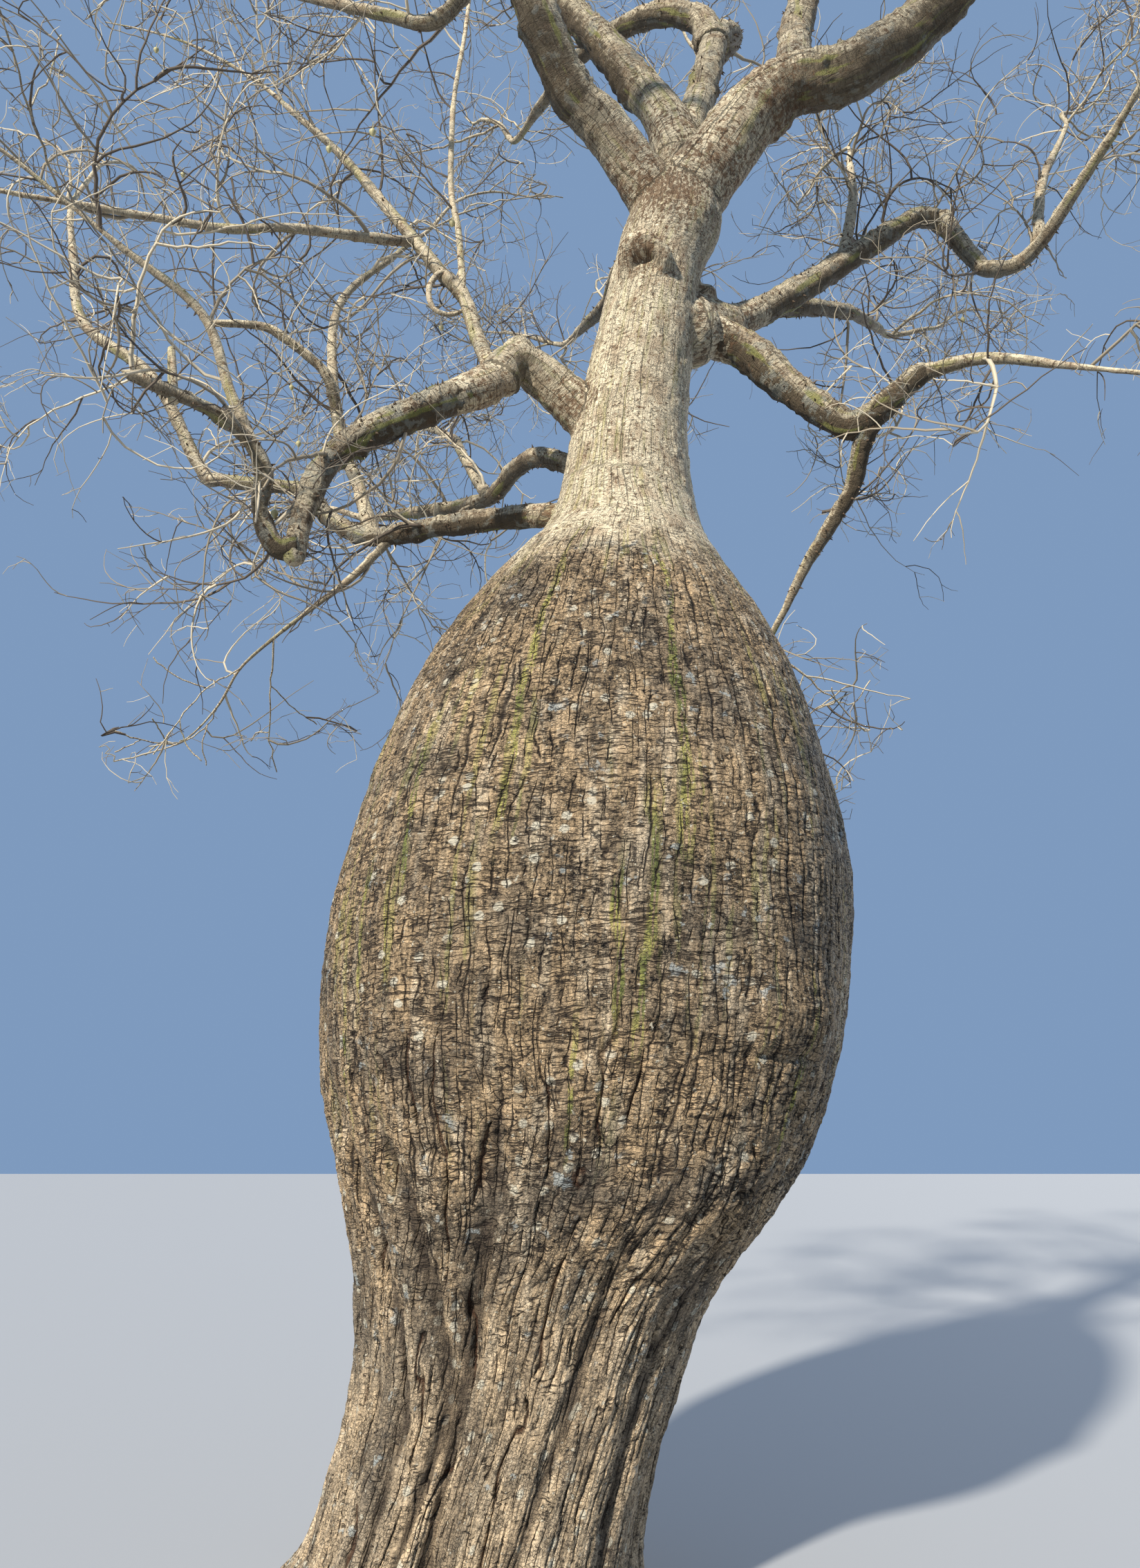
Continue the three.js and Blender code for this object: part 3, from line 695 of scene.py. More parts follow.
# size across, size along where it differs, detail, roughness, and the two values between which a
# patch comes in or the amount of a wave
noises = {
    "openness": (0.16, 0.34, 1, 0.5), "worn": (0.060, 0.105, 1, 0.5), "split": (0.10, 0.30, 1, 0.5),
    "shown": (0.065, None, 1, 0.5), "lowEdge": (0.30, None, 1, 0.5, 0.8),
    "slant": (0.20, 0.55, 2, 0.5, 0.34), "lean": (0.10, 0.40, 1, 0.5, 0.10),
    "tone": (0.36, None, 4, 0.6), "speckle": (0.012, None, 5, 0.78),
    "streak": (0.05, 0.6, 3, 0.5, 0.50, 0.66), "threads": (0.012, 0.11, 2, 0.5, 0.38, 0.62),
    "patch": (0.085, None, 3, 0.6, 0.38, 0.64), "cloud": (0.80, None, 2, 0.5, 0.38, 0.62),
    "fresh": (0.13, None, 3, 0.6, 0.46, 0.66), "stain": (0.17, 0.45, 5, 0.5),
    "vein": (0.028, 0.70, 1, 0.5, 0.560, 0.62), "bunch": (0.20, 1.3, 1, 0.5, 0.48, 0.56),
    "veinSway": (0.12, 0.35, 1, 0.5, 0.10), "veinThread": (0.0095, 0.30, 2, 0.5, 0.42, 0.52),
    "mist": (0.07, None, 3, 0.6, 0.62, 0.67), "settled": (0.30, None, 2, 0.5, 0.44, 0.54),
    "fleck": (0.017, None, 1, 0.5, 0.69, 0.73), "dash": (0.022, 0.010, 2, 0.5, 0.64, 0.69),
    "wart": (0.034, 0.019, 2, 0.5, 0.60, 0.65),
    "cork": (0.017, None, 5, 0.75), "corkDrift": (0.12, None, 2, 0.5, 0.45),
    "underEdge": (0.04, None, 4, 0.7, 1.1), "brown": (0.040, None, 5, 0.75, 0.56, 0.65),
    "lichen": (0.10, None, 4, 0.65, 0.55, 0.61), "moss": (0.05, 0.30, 3, 0.5, 0.58, 0.66),
    "torn": (0.030, None, 5, 0.75),
    "pits": (0.009, None, 4, 0.7, 0.0065), "wrinkles": (0.030, 0.0075, 2, 0.5),
    "fibre": (0.011, 0.07, 3, 0.5), "rough": (0.016, None, 5, 0.75), "rings": (0.060, 0.015, 3, 0.5),
    "seamEdge": (0.08, None, 2, 0.5, 0.5), "neckEdge": (0.16, None, 3, 0.6, 0.55),
    "swelling": (0.6, None, 1, 0.5), "lumps": (0.12, None, 2, 0.5, 0.018),
    "smallLumps": (0.035, None, 2, 0.5, 0.008), "ridges": (0.085, 0.6, 3, 0.5, 0.060),
    "knuckle": (0.085, None, 1, 0.5, 0.60, 0.78), "limbLumps": (0.19, None, 2, 0.5, 0.55),
    "smallBumps": (0.045, None, 2, 0.5, 0.30), "folded": (0.22, 0.042, 1, 0.5),
}
# where a noise is taken elsewhere, so that it doesn't repeat another one
shifts = {
    "split": (2.2, 4.1, 0.6), "cloud": (4.4, 2.1, 0.7), "settled": (1.3, 0.2, 2.2),
    "fleck": (7.0, 3.0, 1.0), "wart": (1.7, 5.5, 0.2), "lichen": (3.1, 1.7, 0.4), "moss": (5.2, 0.3, 2.4),
}

# green veins on the trunk: metres round from the front, half width, lowest and highest point
veins = [
    [-0.235, 0.020, 2.70, 4.00], [0.165, 0.017, 2.02, 2.55], [0.240, 0.020, 1.95, 2.80],
    [0.345, 0.024, 2.60, 4.10], [-0.575, 0.020, 2.50, 3.20], [-0.745, 0.024, 2.10, 2.60],
    [-0.620, 0.012, 2.15, 2.55], [-0.835, 0.016, 1.70, 2.15], [0.820, 0.015, 1.60, 2.20],
    [0.050, 0.012, 1.60, 2.00], [1.750, 0.024, 2.00, 3.30], [-1.900, 0.026, 1.90, 3.10],
]


# cracks along lines of one kind, which open and show where a noise is high
def cracksAlong(desk, kind, line, noise, softness):
    spacing, width, opens, least, shows = roughBark[kind]
    opened = desk.rise(noise, *opens) * (width * softness) + least
    return desk.cut(desk.lines(line, spacing), opened) * desk.rise(noise, *shows)


# how deep the bark is cut: each mask is 1 in the bottom of its cracks
def roughCuts(desk, sheet, place, softness):
    z = desk.height(place)
    path = desk.wander(desk.wander(sheet, *roughBark["slow"]), *roughBark["quick"])
    low = desk.rise(z + desk.wave("lowEdge", place), *levels["low"])
    foot = desk.rise(z, *levels["foot"])
    belly = desk.rise(z, *levels["belly"]) * desk.rise(z, *levels["shoulder"])
    openness, split = desk.look("openness", place), desk.look("split", place)
    worn = desk.look("worn", place) - belly * 0.045

    line = desk.across(path) + desk.wave("slant", sheet)
    fissure = cracksAlong(desk, "fissure", line, openness, softness) * low
    line = desk.across(path) + desk.wave("lean", sheet)
    upright = cracksAlong(desk, "upright", line, worn, softness)
    strong = cracksAlong(desk, "strong", line, split, softness)
    across, along, width = roughBark["level"]
    shown = desk.look("shown", place)
    rows = desk.size(desk.grain(path, across, along) - 0.5)
    level = desk.cut(rows, width * softness) * desk.rise(shown + foot * 0.2, 0.62, 0.52)

    across, along, width = roughBark["flake"]
    flake = desk.plates(path, across, along)[1]
    seam = desk.cut(desk.cracks(path, across, along), width * softness) * desk.rise(shown, 0.38, 0.52)
    across, along, width = roughBark["scale"]
    scaly = low * (1 - foot * 0.75)
    scale = (desk.plates(path, across, along)[1] - 0.5) * scaly
    rim = desk.cut(desk.cracks(path, across, along), width * softness) * scaly * desk.rise(worn, 0.47, 0.56)
    return {"fissure": fissure, "upright": desk.most(upright, strong), "level": level, "seam": seam,
            "scale": scale, "rim": rim, "flake": flake, "worn": worn, "openness": openness,
            "low": low, "foot": foot}


# the colour of the trunk's bark, with painted light and shade in it: dappled blotches, a lighter lower
# trunk, darker flutes and part of the stains; where it is pale it is the cream bark of the neck
def roughTint(desk, sheet, place, cuts, pale, turn):
    bark = roughBark
    tone, speckle = desk.look("tone", place), desk.look("speckle", place)
    tint = desk.layered(desk.blend(desk.rise(tone, 0.44, 0.68), bark["tan"], bark["grey"]), [
        (desk.patches("streak", place) * 0.65, bark["pale"]),
        (cuts["foot"] * 0.50, bark["worn"])])
    # painted light and shade: cloud is painted dappled light and shade in broad blotches, patch is partly
    # the bark's own tone and partly painted dappled shade; the lower trunk, which faces down, is painted
    # lighter
    patch, cloud = desk.patches("patch", place) - 0.5, desk.patches("cloud", place) - 0.5
    grains = (cuts["flake"] - 0.5) * 0.42 + (desk.rise(speckle, 0.36, 0.64) - 0.5) * 0.98
    grains = grains + (desk.patches("threads", place) - 0.5) * 0.40 + cuts["scale"] * 0.42
    contrast = 1.0 - pale * 0.62
    light = 0.87 + pale * 0.20 + cuts["low"] * 0.20 + (patch * 0.46 + cloud * 0.24 + grains) * contrast
    fresh = desk.blend(desk.patches("fresh", place), bark["cream"], bark["worn"])
    tint = desk.shaded(desk.blend(pale, tint, fresh), light)

    dark = 1 - pale * 0.92
    # dark blotches, stronger on the lower trunk: partly stains, partly painted shade for dappled shadow and
    # for the waist under the belly
    stain = desk.rise(desk.look("stain", place) + cuts["low"] * 0.035, 0.52, 0.64)
    vein = desk.patches("vein", desk.wander(sheet, 0.10, 0.014)) * desk.patches("bunch", place)
    vein = vein * desk.rise(desk.height(place), *levels["veined"]) * (pale * 0.5 + 0.5)
    if turn is not None:
        vein = desk.most(vein, veinShare(desk, turn, place) * 1.1)
    green = desk.blend(desk.rise(tone, 0.44, 0.56), bark["vein"], bark["moss"])
    mist = desk.patches("mist", desk.wander(place, 0.02, 0.01)) * desk.rise(tone, 0.47, 0.58)
    middle, kind = desk.plates(desk.wander(sheet, 0.02, 0.008), 0.085, 0.085)
    spots = desk.rise(middle, 0.019, 0.013) * desk.rise(kind, 0.62, 0.64) * desk.patches("settled", place)
    warm = desk.rise(cuts["openness"], 0.50, 0.60) * cuts["low"]
    return desk.layered(tint, [
        (stain * (cuts["low"] * 0.22 + 0.26) * dark, bark["stain"]),
        (vein * desk.rise(speckle, 0.32, 0.50) * (0.85 - pale * 0.45), green),
        (mist * 0.65 * dark, bark["mist"]),
        (spots * 0.85 * dark, bark["spot"]),
        (desk.patches("fleck", place) * 0.70, bark["spot"]),
        (desk.patches("dash", place) * (0.80 - pale * 0.10), bark["crack"]),
        (desk.patches("wart", place) * pale * 0.80, limbPatches["scab"]),
        # painted shade along the flutes of the foot
        (cuts["flute"] * 0.75, bark["flute"]),
        (cuts["seam"] * (0.40 - pale * 0.25), bark["stain"]),
        (cuts["level"] * (0.88 - pale * 0.46), bark["crack"]),
        (cuts["rim"] * 0.85, bark["crack"]),
        (cuts["upright"] * (0.95 - pale * 0.45), bark["crack"]),
        (cuts["fissure"] * 0.92, desk.blend(warm * 0.7, bark["crack"], bark["fissureTint"]))])


# how green the bark is along the veins, by metres round and height
def veinShare(desk, turn, place):
    z = desk.height(place)
    sway = turn + desk.wave("veinSway", place)
    share = 0.0
    for middle, half, low, high in veins:
        line = desk.rise(desk.size(sway - middle), half, half * 0.5)
        ends = desk.rise(z, low - 0.1, low + 0.1), desk.rise(z, high + 0.15, high - 0.15)
        share = desk.most(share, line * ends[0] * ends[1])
    return share * desk.patches("veinThread", place)


# patches of brown cork, lichen and moss on the limbs, dark scabs where they part, and painted shade on their
# undersides
def patchedTint(desk, tint, place, amount, crotch, facing):
    cork = desk.look("cork", desk.wander(place, 0.020, 0.008)) + desk.wave("corkDrift", place)
    # painted shade: 1 where the bark faces down, with a ragged edge
    under = desk.rise(facing + desk.wave("underEdge", place), 0.12, -0.30)
    torn = desk.rise(desk.look("torn", place) + crotch * 0.22, 0.60, 0.68)
    return desk.layered(tint, [
        (desk.rise(cork, 0.52, 0.62) * amount * 0.62, limbPatches["brown"]),
        (under * (0.34 + amount * 0.55), limbPatches["under"]),
        (desk.patches("brown", desk.wander(place, 0.03, 0.015)) * amount * 0.55, limbPatches["brown"]),
        (desk.patches("lichen", place) * amount * 0.32, limbPatches["lichen"]),
        (desk.patches("moss", place) * (0.25 + amount * 0.35), limbPatches["moss"]),
        (torn * 0.85, limbPatches["scab"])])


# how deep each kind of cut goes in the bump, in metres
bumpDepths = {"fissure": 0.012, "upright": 0.0085, "level": 0.0080, "seam": 0.0030, "rim": 0.0080,
              "scale": -0.010}


# the fine relief of the bark, for its bump
def roughFinish(desk, place, cuts, pale):
    wrinkles = (desk.look("wrinkles", place) - 0.5) * (1 - cuts["foot"]) * 0.0080
    fibre = (desk.look("fibre", place) - 0.5) * (cuts["low"] * 0.008 + cuts["foot"] * 0.005 + 0.003)
    cut = sum(cuts[kind] * depth for kind, depth in bumpDepths.items())
    flakes = (cuts["flake"] - 0.5) * 0.0045
    return (desk.wave("pits", place) + wrinkles + fibre + flakes - cut) * (1 - pale * 0.35)


def newFinish(name):
    material = bpy.data.materials.new(name)
    material.use_nodes = True
    material.node_tree.nodes.clear()
    return material, Desk(material.node_tree)


# the shader of a material, with these inputs
def coat(desk, inputs):
    shader = desk.node("ShaderNodeBsdfPrincipled", {}, inputs)
    desk.node("ShaderNodeOutputMaterial", {}, {"Surface": shader.outputs[0]})


# a number or vector kept on the points, in a material
def painted(desk, name, vector=False):
    made = desk.node("ShaderNodeAttribute", {"attribute_type": "GEOMETRY", "attribute_name": name})
    return Term(desk, made.outputs["Vector" if vector else "Fac"], vector)


# the sheet is unrolled twice, with its seam at the back and at the front; this picks the one whose
# seam is far away, along a ragged line
def sheetOf(desk, charts, place):
    first, second, z = desk.split(charts)
    edge = desk.size(first) + desk.wave("seamEdge", place)
    other = desk.join("GREATER_THAN", edge, roughBark["sheetEdge"])
    u = first + (second - first) * other
    made = desk.node("ShaderNodeCombineXYZ", {}, {0: u, 1: z, 2: 0.0})
    return Term(desk, made.outputs[0], True, True)


# how far the bark has turned smooth and pale, from the shoulder up to the neck
def paleShare(desk, place):
    return desk.rise(desk.height(place) + desk.wave("neckEdge", place), *levels["neck"])


# one bark for the trunk, with its pale neck and the limbs where they show
def makeBark(name, withNeck=False, withLimbs=False):
    material, desk = newFinish(name)
    place, charts = painted(desk, "barkPlace", True), painted(desk, "charts", True)
    sheet = sheetOf(desk, charts, place)
    cuts = roughCuts(desk, sheet, place, roughBark["softness"]["finish"])
    pale = paleShare(desk, place) if withNeck else 0.0
    if withLimbs:
        turn, cuts["flute"], girth = None, 0.0, painted(desk, "girth")
        for kind in ("fissure", "upright", "level", "seam"):
            cuts[kind] = cuts[kind] * desk.rise(girth, 0.010, 0.050)
    else:
        turn = desk.across(charts)
        cuts["flute"] = desk.rise(painted(desk, "flute") + cuts["worn"] * 0.7, 0.85, 1.25)
    tint, relief = roughTint(desk, sheet, place, cuts, pale, turn), roughFinish(desk, place, cuts, pale)
    if withLimbs:
        patchy = painted(desk, "patchy") * (desk.rise(girth, 0.020, 0.060) * 0.7 + 0.3)
        facing = desk.height(painted(desk, "outward", True))
        tint = patchedTint(desk, tint, place, patchy, painted(desk, "crotch"), facing)
        relief = relief + (desk.look("rough", place) - 0.5) * (patchy * 0.014 + 0.003)
        relief = relief + (desk.look("rings", place) - 0.5) * patchy * 0.012
    bump = desk.node("ShaderNodeBump", {}, {"Strength": 1.0, "Distance": 1.0, "Height": relief})
    coat(desk, {"Base Color": tint, "Roughness": roughBark["roughness"],
                "Specular IOR Level": roughBark["gloss"], "Normal": bump.outputs["Normal"]})
    return material


trunkBark = makeBark("trunkBark")
shoulderBark = makeBark("shoulderBark", withNeck=True)
limbBark = makeBark("limbBark", withNeck=True, withLimbs=True)


# the end of a tree of geometry nodes: real geometry in its bark
def closeShape(desk, geometry, bark):
    whole = desk.node("GeometryNodeRealizeInstances", {}, {0: geometry})
    dressed = desk.node("GeometryNodeSetMaterial", {}, {"Geometry": whole.outputs[0], "Material": bark})
    desk.node("NodeGroupOutput", {}, {0: dressed.outputs[0]})


# moves each point of a skin by the lift along its own outward mark
def liftSkin(desk, given, lift):
    move = readMark(desk, "outward", True) * lift
    moved = desk.node("GeometryNodeSetPosition", {}, {"Geometry": given["Geometry"], "Offset": move})
    closeShape(desk, moved.outputs[0], given["Bark"])


# relief of the trunk
def trunkReliefTree():
    tree, desk, given = newShape("trunkRelief", {
        "Swelling": "NodeSocketFloat", "Fissure depth": "NodeSocketFloat", "Crack depth": "NodeSocketFloat",
        "Bark": "NodeSocketMaterial"})
    place = readMark(desk, "barkPlace", True)
    sheet = sheetOf(desk, readMark(desk, "charts", True), place)
    cuts = roughCuts(desk, sheet, place, roughBark["softness"]["relief"])
    rough = 1 - paleShare(desk, place)
    swell = (desk.look("swelling", place) - 0.5) * given["Swelling"]
    lumps = desk.wave("lumps", place) + desk.wave("smallLumps", place) * rough
    ridged = desk.rise(desk.height(place), *levels["ridged"])
    ridges = desk.wave("ridges", place) * ridged + cuts["scale"] * 0.007
    cut = cuts["fissure"] * given["Fissure depth"]
    cut = cut + (cuts["upright"] + cuts["level"] * 0.4) * given["Crack depth"]
    liftSkin(desk, given, swell + lumps + ridges - cut * rough)
    return tree


# relief of the neck and the limbs: lumps, and wrinkles across them where they part
def limbReliefTree():
    tree, desk, given = newShape("limbRelief", {
        "Lumps": "NodeSocketFloat", "Wrinkles": "NodeSocketFloat", "Bark": "NodeSocketMaterial"})
    onLimb = readMark(desk, "patchy")
    place = readMark(desk, "barkPlace", True)
    thick = desk.join("MINIMUM", readMark(desk, "girth"), 0.11)
    knuckle = desk.patches("knuckle", place) * 0.20
    bumps = desk.wave("limbLumps", place) + desk.wave("smallBumps", place) + knuckle
    lift = bumps * thick * (given["Lumps"] * (onLimb * 0.75 + 0.25))
    wrinkle = desk.look("folded", desk.wander(place, 0.12, 0.03)) - 0.5
    liftSkin(desk, given, lift + wrinkle * (readMark(desk, "crotch") + 0.12) * given["Wrinkles"])
    return tree


trunkRelief = trunkReliefTree()
limbRelief = limbReliefTree()
print("bark ready")


# trunk skin: level rings, closer together on the side that is seen, in four pieces

skin = {
    "columns": 640, "rows": 124, "top": 4.42,
    "names": ["trunkFoot", "trunkWaist", "trunkBelly", "trunkShoulder"],
    "under": [0, 0.0003, 0.0015, 0.005],  # neighbours overlap by three rows, which go in that far
    "front": -95, "denser": 0.45,
    "sinks": [4.20, 4.42, 0.012],  # the rim goes down into the neck over these heights
    "hollow": 0.05,  # depth of the closed ends inside the trunk
    "patternRadius": 0.95, "patternShare": 0.6,  # how far the patterns widen with the trunk
    "relief": {"Swelling": 0.034, "Fissure depth": 0.017, "Crack depth": 0.007},
    # flutes of the foot: azimuth at the ground and at the belly, height where they end, half width in
    # radians, depth
    "flutes": [
        [-140, -178, 2.0, 0.050, 0.026], [-122, -163, 2.4, 0.042, 0.032], [-114, -138, 2.5, 0.040, 0.036],
        [-104, -110, 2.4, 0.042, 0.036], [-76, -70, 1.9, 0.060, 0.032], [-48, -36, 2.0, 0.060, 0.032],
        [-8, -2, 1.5, 0.09, 0.030], [27, 30, 1.7, 0.08, 0.032], [66, 60, 1.5, 0.10, 0.028],
        [104, 98, 1.9, 0.08, 0.034], [143, 150, 1.6, 0.09, 0.028], [184, 176, 1.8, 0.08, 0.030]],
    "fluteTurn": [0.6, 2.1],  # heights over which the flutes lean from one azimuth to the other
    # swellings: azimuth, height, half width and half height in metres, lift
    "pillows": [
        [-48, 2.08, 0.27, 0.13, 0.034], [-72, 2.06, 0.14, 0.10, 0.020], [-128, 2.9, 0.35, 0.40, 0.022],
        [-60, 1.55, 0.30, 0.22, 0.024], [120, 2.3, 0.40, 0.30, 0.030], [60, 1.9, 0.30, 0.20, 0.028],
        [0, 2.7, 0.40, 0.35, 0.024], [170, 1.8, 0.30, 0.25, 0.026]],
    # level creases: azimuth, height, half length and half height in metres, depth
    "creases": [
        [-52, 1.93, 0.26, 0.020, 0.020], [-30, 2.20, 0.16, 0.016, 0.012], [-95, 4.18, 0.42, 0.012, 0.014],
        [-84, 3.62, 0.22, 0.014, 0.008], [-118, 1.62, 0.18, 0.018, 0.014], [80, 2.05, 0.30, 0.018, 0.014]],
}
sheetShift = 20  # metres between the patterns of the two sheets


# the radius as a share of the round one, with the folds of the root flare
def folds(angle, height):
    facing = angle + math.pi / 2
    depth = trunk["foldsAtFoot"] * np.exp(-height / (trunk["foldsFade"] * mm))
    broad = 0.55 * np.cos(5 * facing) + 0.3 * np.cos(3 * facing + 0.9)
    return 1 - depth * (broad + 0.15 * np.cos(9 * facing + 2))


def wrapped(angle):
    return (angle + math.pi) % (2 * math.pi) - math.pi


def fluteDepth(angle, height):
    total = 0
    for low, high, end, width, depth in skin["flutes"]:
        leaning = math.radians(high - low) * smooth(*skin["fluteTurn"], height)
        path = math.radians(low) + leaning + 0.05 * np.sin(2.6 * height + low)
        away = wrapped(angle - path) / (width * (1 + 0.3 * height))
        total = total + depth * np.exp(-away ** 2) * (1 - smooth(0.55 * end, end, height))
    return total


# points of the trunk's face, with its pillows and creases
def trunkFace(angle, height):
    lean, back, radius = trunkAt(height)
    reach = radius * folds(angle, height) - fluteDepth(angle, height)
    creases = [row[:4] + [-row[4]] for row in skin["creases"]]
    for azimuth, middle, wide, tall, lift in skin["pillows"] + creases:
        away = wrapped(angle - math.radians(azimuth)) * radius / wide
        sway = 0.25 * tall * np.sin(9 * away) if tall < 0.03 else 0
        reach = reach + lift * np.exp(-away ** 4 - ((height - middle + sway) / tall) ** 2)
    sinkFrom, sinkTo, sink = skin["sinks"]
    reach = reach - sink * smooth(sinkFrom, sinkTo, height)
    x, y = lean + reach * np.cos(angle), back + reach * np.sin(angle)
    return np.stack([x, y, height + 0 * reach], axis=-1)


# metres round on both sheets for an azimuth, where the bark has that radius
def bothSheets(angle, around):
    front = math.radians(skin["front"])
    return around * wrapped(angle - front), around * wrapped(angle - front + math.pi) + sheetShift


def patternReach(radius):
    return radius ** skin["patternShare"] * skin["patternRadius"] ** (1 - skin["patternShare"])


def makeTrunkSkin():
    front = math.radians(skin["front"])
    turns = np.linspace(front - math.pi, front + math.pi, 2001)
    share = turns + skin["denser"] * np.sin(turns - front)
    angles = np.interp(np.linspace(share[0], share[-1], skin["columns"], endpoint=False), share, turns)
    climbs = np.linspace(0, skin["top"], 600)
    climb = np.concatenate([[0], np.cumsum(np.hypot(np.diff(climbs), np.diff(trunkAt(climbs)[2])))])
    rowCount = skin["rows"] * len(skin["names"]) + 1
    heights = np.interp(np.linspace(0, climb[-1], rowCount), climb, climbs)
    angle, height = np.meshgrid(angles, heights)
    face = trunkFace(angle, height)
    across = np.roll(face, -1, axis=1) - np.roll(face, 1, axis=1)
    outward = np.cross(across, np.gradient(face, axis=0))
    outward[..., 2] *= smooth(0.0, 0.08, height)
    outward /= np.linalg.norm(outward, axis=-1, keepdims=True)
    reach = patternReach(trunkAt(height)[2])
    place = np.stack([reach * np.cos(angle), reach * np.sin(angle), height], axis=-1)
    charts = np.stack([*bothSheets(angle, skin["patternRadius"]), height], axis=-1)
    # how deep the flutes are, as a share; it darkens them with painted shade
    flute = fluteDepth(angle, height) / max(row[-1] for row in skin["flutes"])

    pieces = []
    columns, rows, lap = skin["columns"], skin["rows"], len(skin["under"]) - 1
    for number, name in enumerate(skin["names"]):
        first, last = max(0, number * rows - lap), min(len(heights), (number + 1) * rows + 1 + lap)
        cut, row = slice(first, last), np.arange(first, last)
        beyond = np.maximum(number * rows - row, row - (number + 1) * rows)
        under = np.interp(beyond, np.arange(lap + 1), skin["under"])
        verts = (face[cut] - outward[cut] * under[:, None, None]).reshape(-1, 3)
        # both ends are closed by a shallow hollow inside the trunk, the foot's by a flat one
        low, high = verts[:columns].mean(axis=0), verts[-columns:].mean(axis=0)
        low[2] += skin["hollow"] if number else 0
        high[2] -= skin["hollow"]
        spots, sheets, marks = [
            np.concatenate([values[cut].reshape(-1, 3), ends])
            for values, ends in ((place, [low, high]), (charts, [low, high]), (outward, np.zeros((2, 3))))]
        kept = {"barkPlace": spots, "charts": sheets, "outward": marks,
                "flute": np.concatenate([flute[cut].reshape(-1), [0, 0]])}
        faces = facesOf(last - first, columns)
        piece = pieceOf(name, meshOf(name, np.concatenate([verts, [low, high]]), *faces, kept))
        bark = shoulderBark if name == "trunkShoulder" else trunkBark
        shapeBy(piece, trunkRelief, {**skin["relief"], "Bark": bark})
        pieces.append(piece)
    return pieces


trunkPieces = makeTrunkSkin()
print("trunk skin:", [len(piece.data.polygons) for piece in trunkPieces])


# limbs: rows of points in metres with a frame at each, for the tubes and for straightening the bark

limbRow = {
    "step": {"thick": 0.017, "slender": 0.022, "thickFrom": 30},  # metres between rings, by the root radius
    "parts": 8,  # points between two bends of a stem that grows on from a bough
    "slims": 0.3, "slimmer": 0.94,  # where such a stem has come down to its own girth, and to which share
    "cap": [0.3, 0.55, 0.78, 0.93],  # rings of a round cap, as shares of a quarter turn
    "least": 0.008,  # no sheet of bark is narrower than round this radius
    # how far apart the limbs, the thick twigs and the slender limbs lie in the patterns of the bark
    "offsets": {"limb": [6.0, 11.0], "twig": [400.0, 2.0], "slender": [700.0, 11.0]},
}
rowKeys = ("path", "along", "side", "across", "lengths", "radii")


def offsetOf(kind, number):
    start, step = limbRow["offsets"][kind]
    return start + step * number


# points and radii at even distances
def evenly(points, radii, step):
    lengths = lengthsAlong(points)
    count = max(2, round(lengths[-1] / step))
    at = np.linspace(0, lengths[-1], count + 1)
    path = np.stack([np.interp(at, lengths, points[:, k]) for k in range(3)], axis=1)
    return path, np.interp(at, lengths, radii), at


# a frame at each point that doesn't twist round the limb
def framed(path, radii, lengths, offset):
    along = np.gradient(path, axis=0)
    along /= np.linalg.norm(along, axis=1, keepdims=True)
    side = np.zeros_like(path)
    carried = np.array([1.0, 0, 0]) if abs(along[0][2]) > 0.9 else up
    for i, ahead in enumerate(along):
        carried = unit(carried - ahead * (carried @ ahead))
        side[i] = carried
    return {"path": path, "radii": radii, "lengths": lengths, "along": along, "side": side,
            "across": np.cross(along, side), "offset": offset}


def smoothRow(knots, parts):
    share = np.arange((len(knots) - 1) * parts + 1) / ((len(knots) - 1) * parts)
    return np.array([curvePoint(knots, s) for s in share])


# a bough and the stem of its mass, which grows on from the tip without a step
def withStem(fine, radii, end, stem):
    row = smoothRow([fine[-2]] + list(stem["points"]), limbRow["parts"])[limbRow["parts"] + 1:]
    lengths = end + lengthsAlong(np.concatenate([fine[-1:], row]))[1:]
    stations = np.linspace(end, lengths[-1], len(stem["radii"]))
    first, slim = end + limbRow["slims"] * (stations[1] - end), limbRow["slimmer"] * stem["radii"][0]
    girths = np.interp(lengths, np.concatenate([[end, first], stations[1:]]),
                       np.concatenate([[radii[-1], slim], stem["radii"][1:]]))
    return np.concatenate([fine, row]), np.concatenate([radii, girths])


limbs = {}
stems = {row["home"]: row for row in thickTwigs if row["level"] == 0}
for index, bough in enumerate(boughs):
    fine = shapes[bough["name"]]["fine"]
    lengths = lengthsAlong(fine)
    radii = girthAlong(bough, lengths, lengths[-1])
    end = lengths[-1]
    home = next((i for i, other in enumerate(spaces) if other["bough"] == bough["name"]), None)
    if home in stems:
        fine, radii = withStem(fine, radii, end, stems[home])
    step = limbRow["step"]["thick" if bough["base"] > limbRow["step"]["thickFrom"] else "slender"]
    path, radii, lengths = evenly(fine * mm, radii * mm, step)
    limbs[bough["name"]] = framed(path, radii, lengths, offsetOf("limb", index))
    limbs[bough["name"]]["boughEnd"] = end * mm


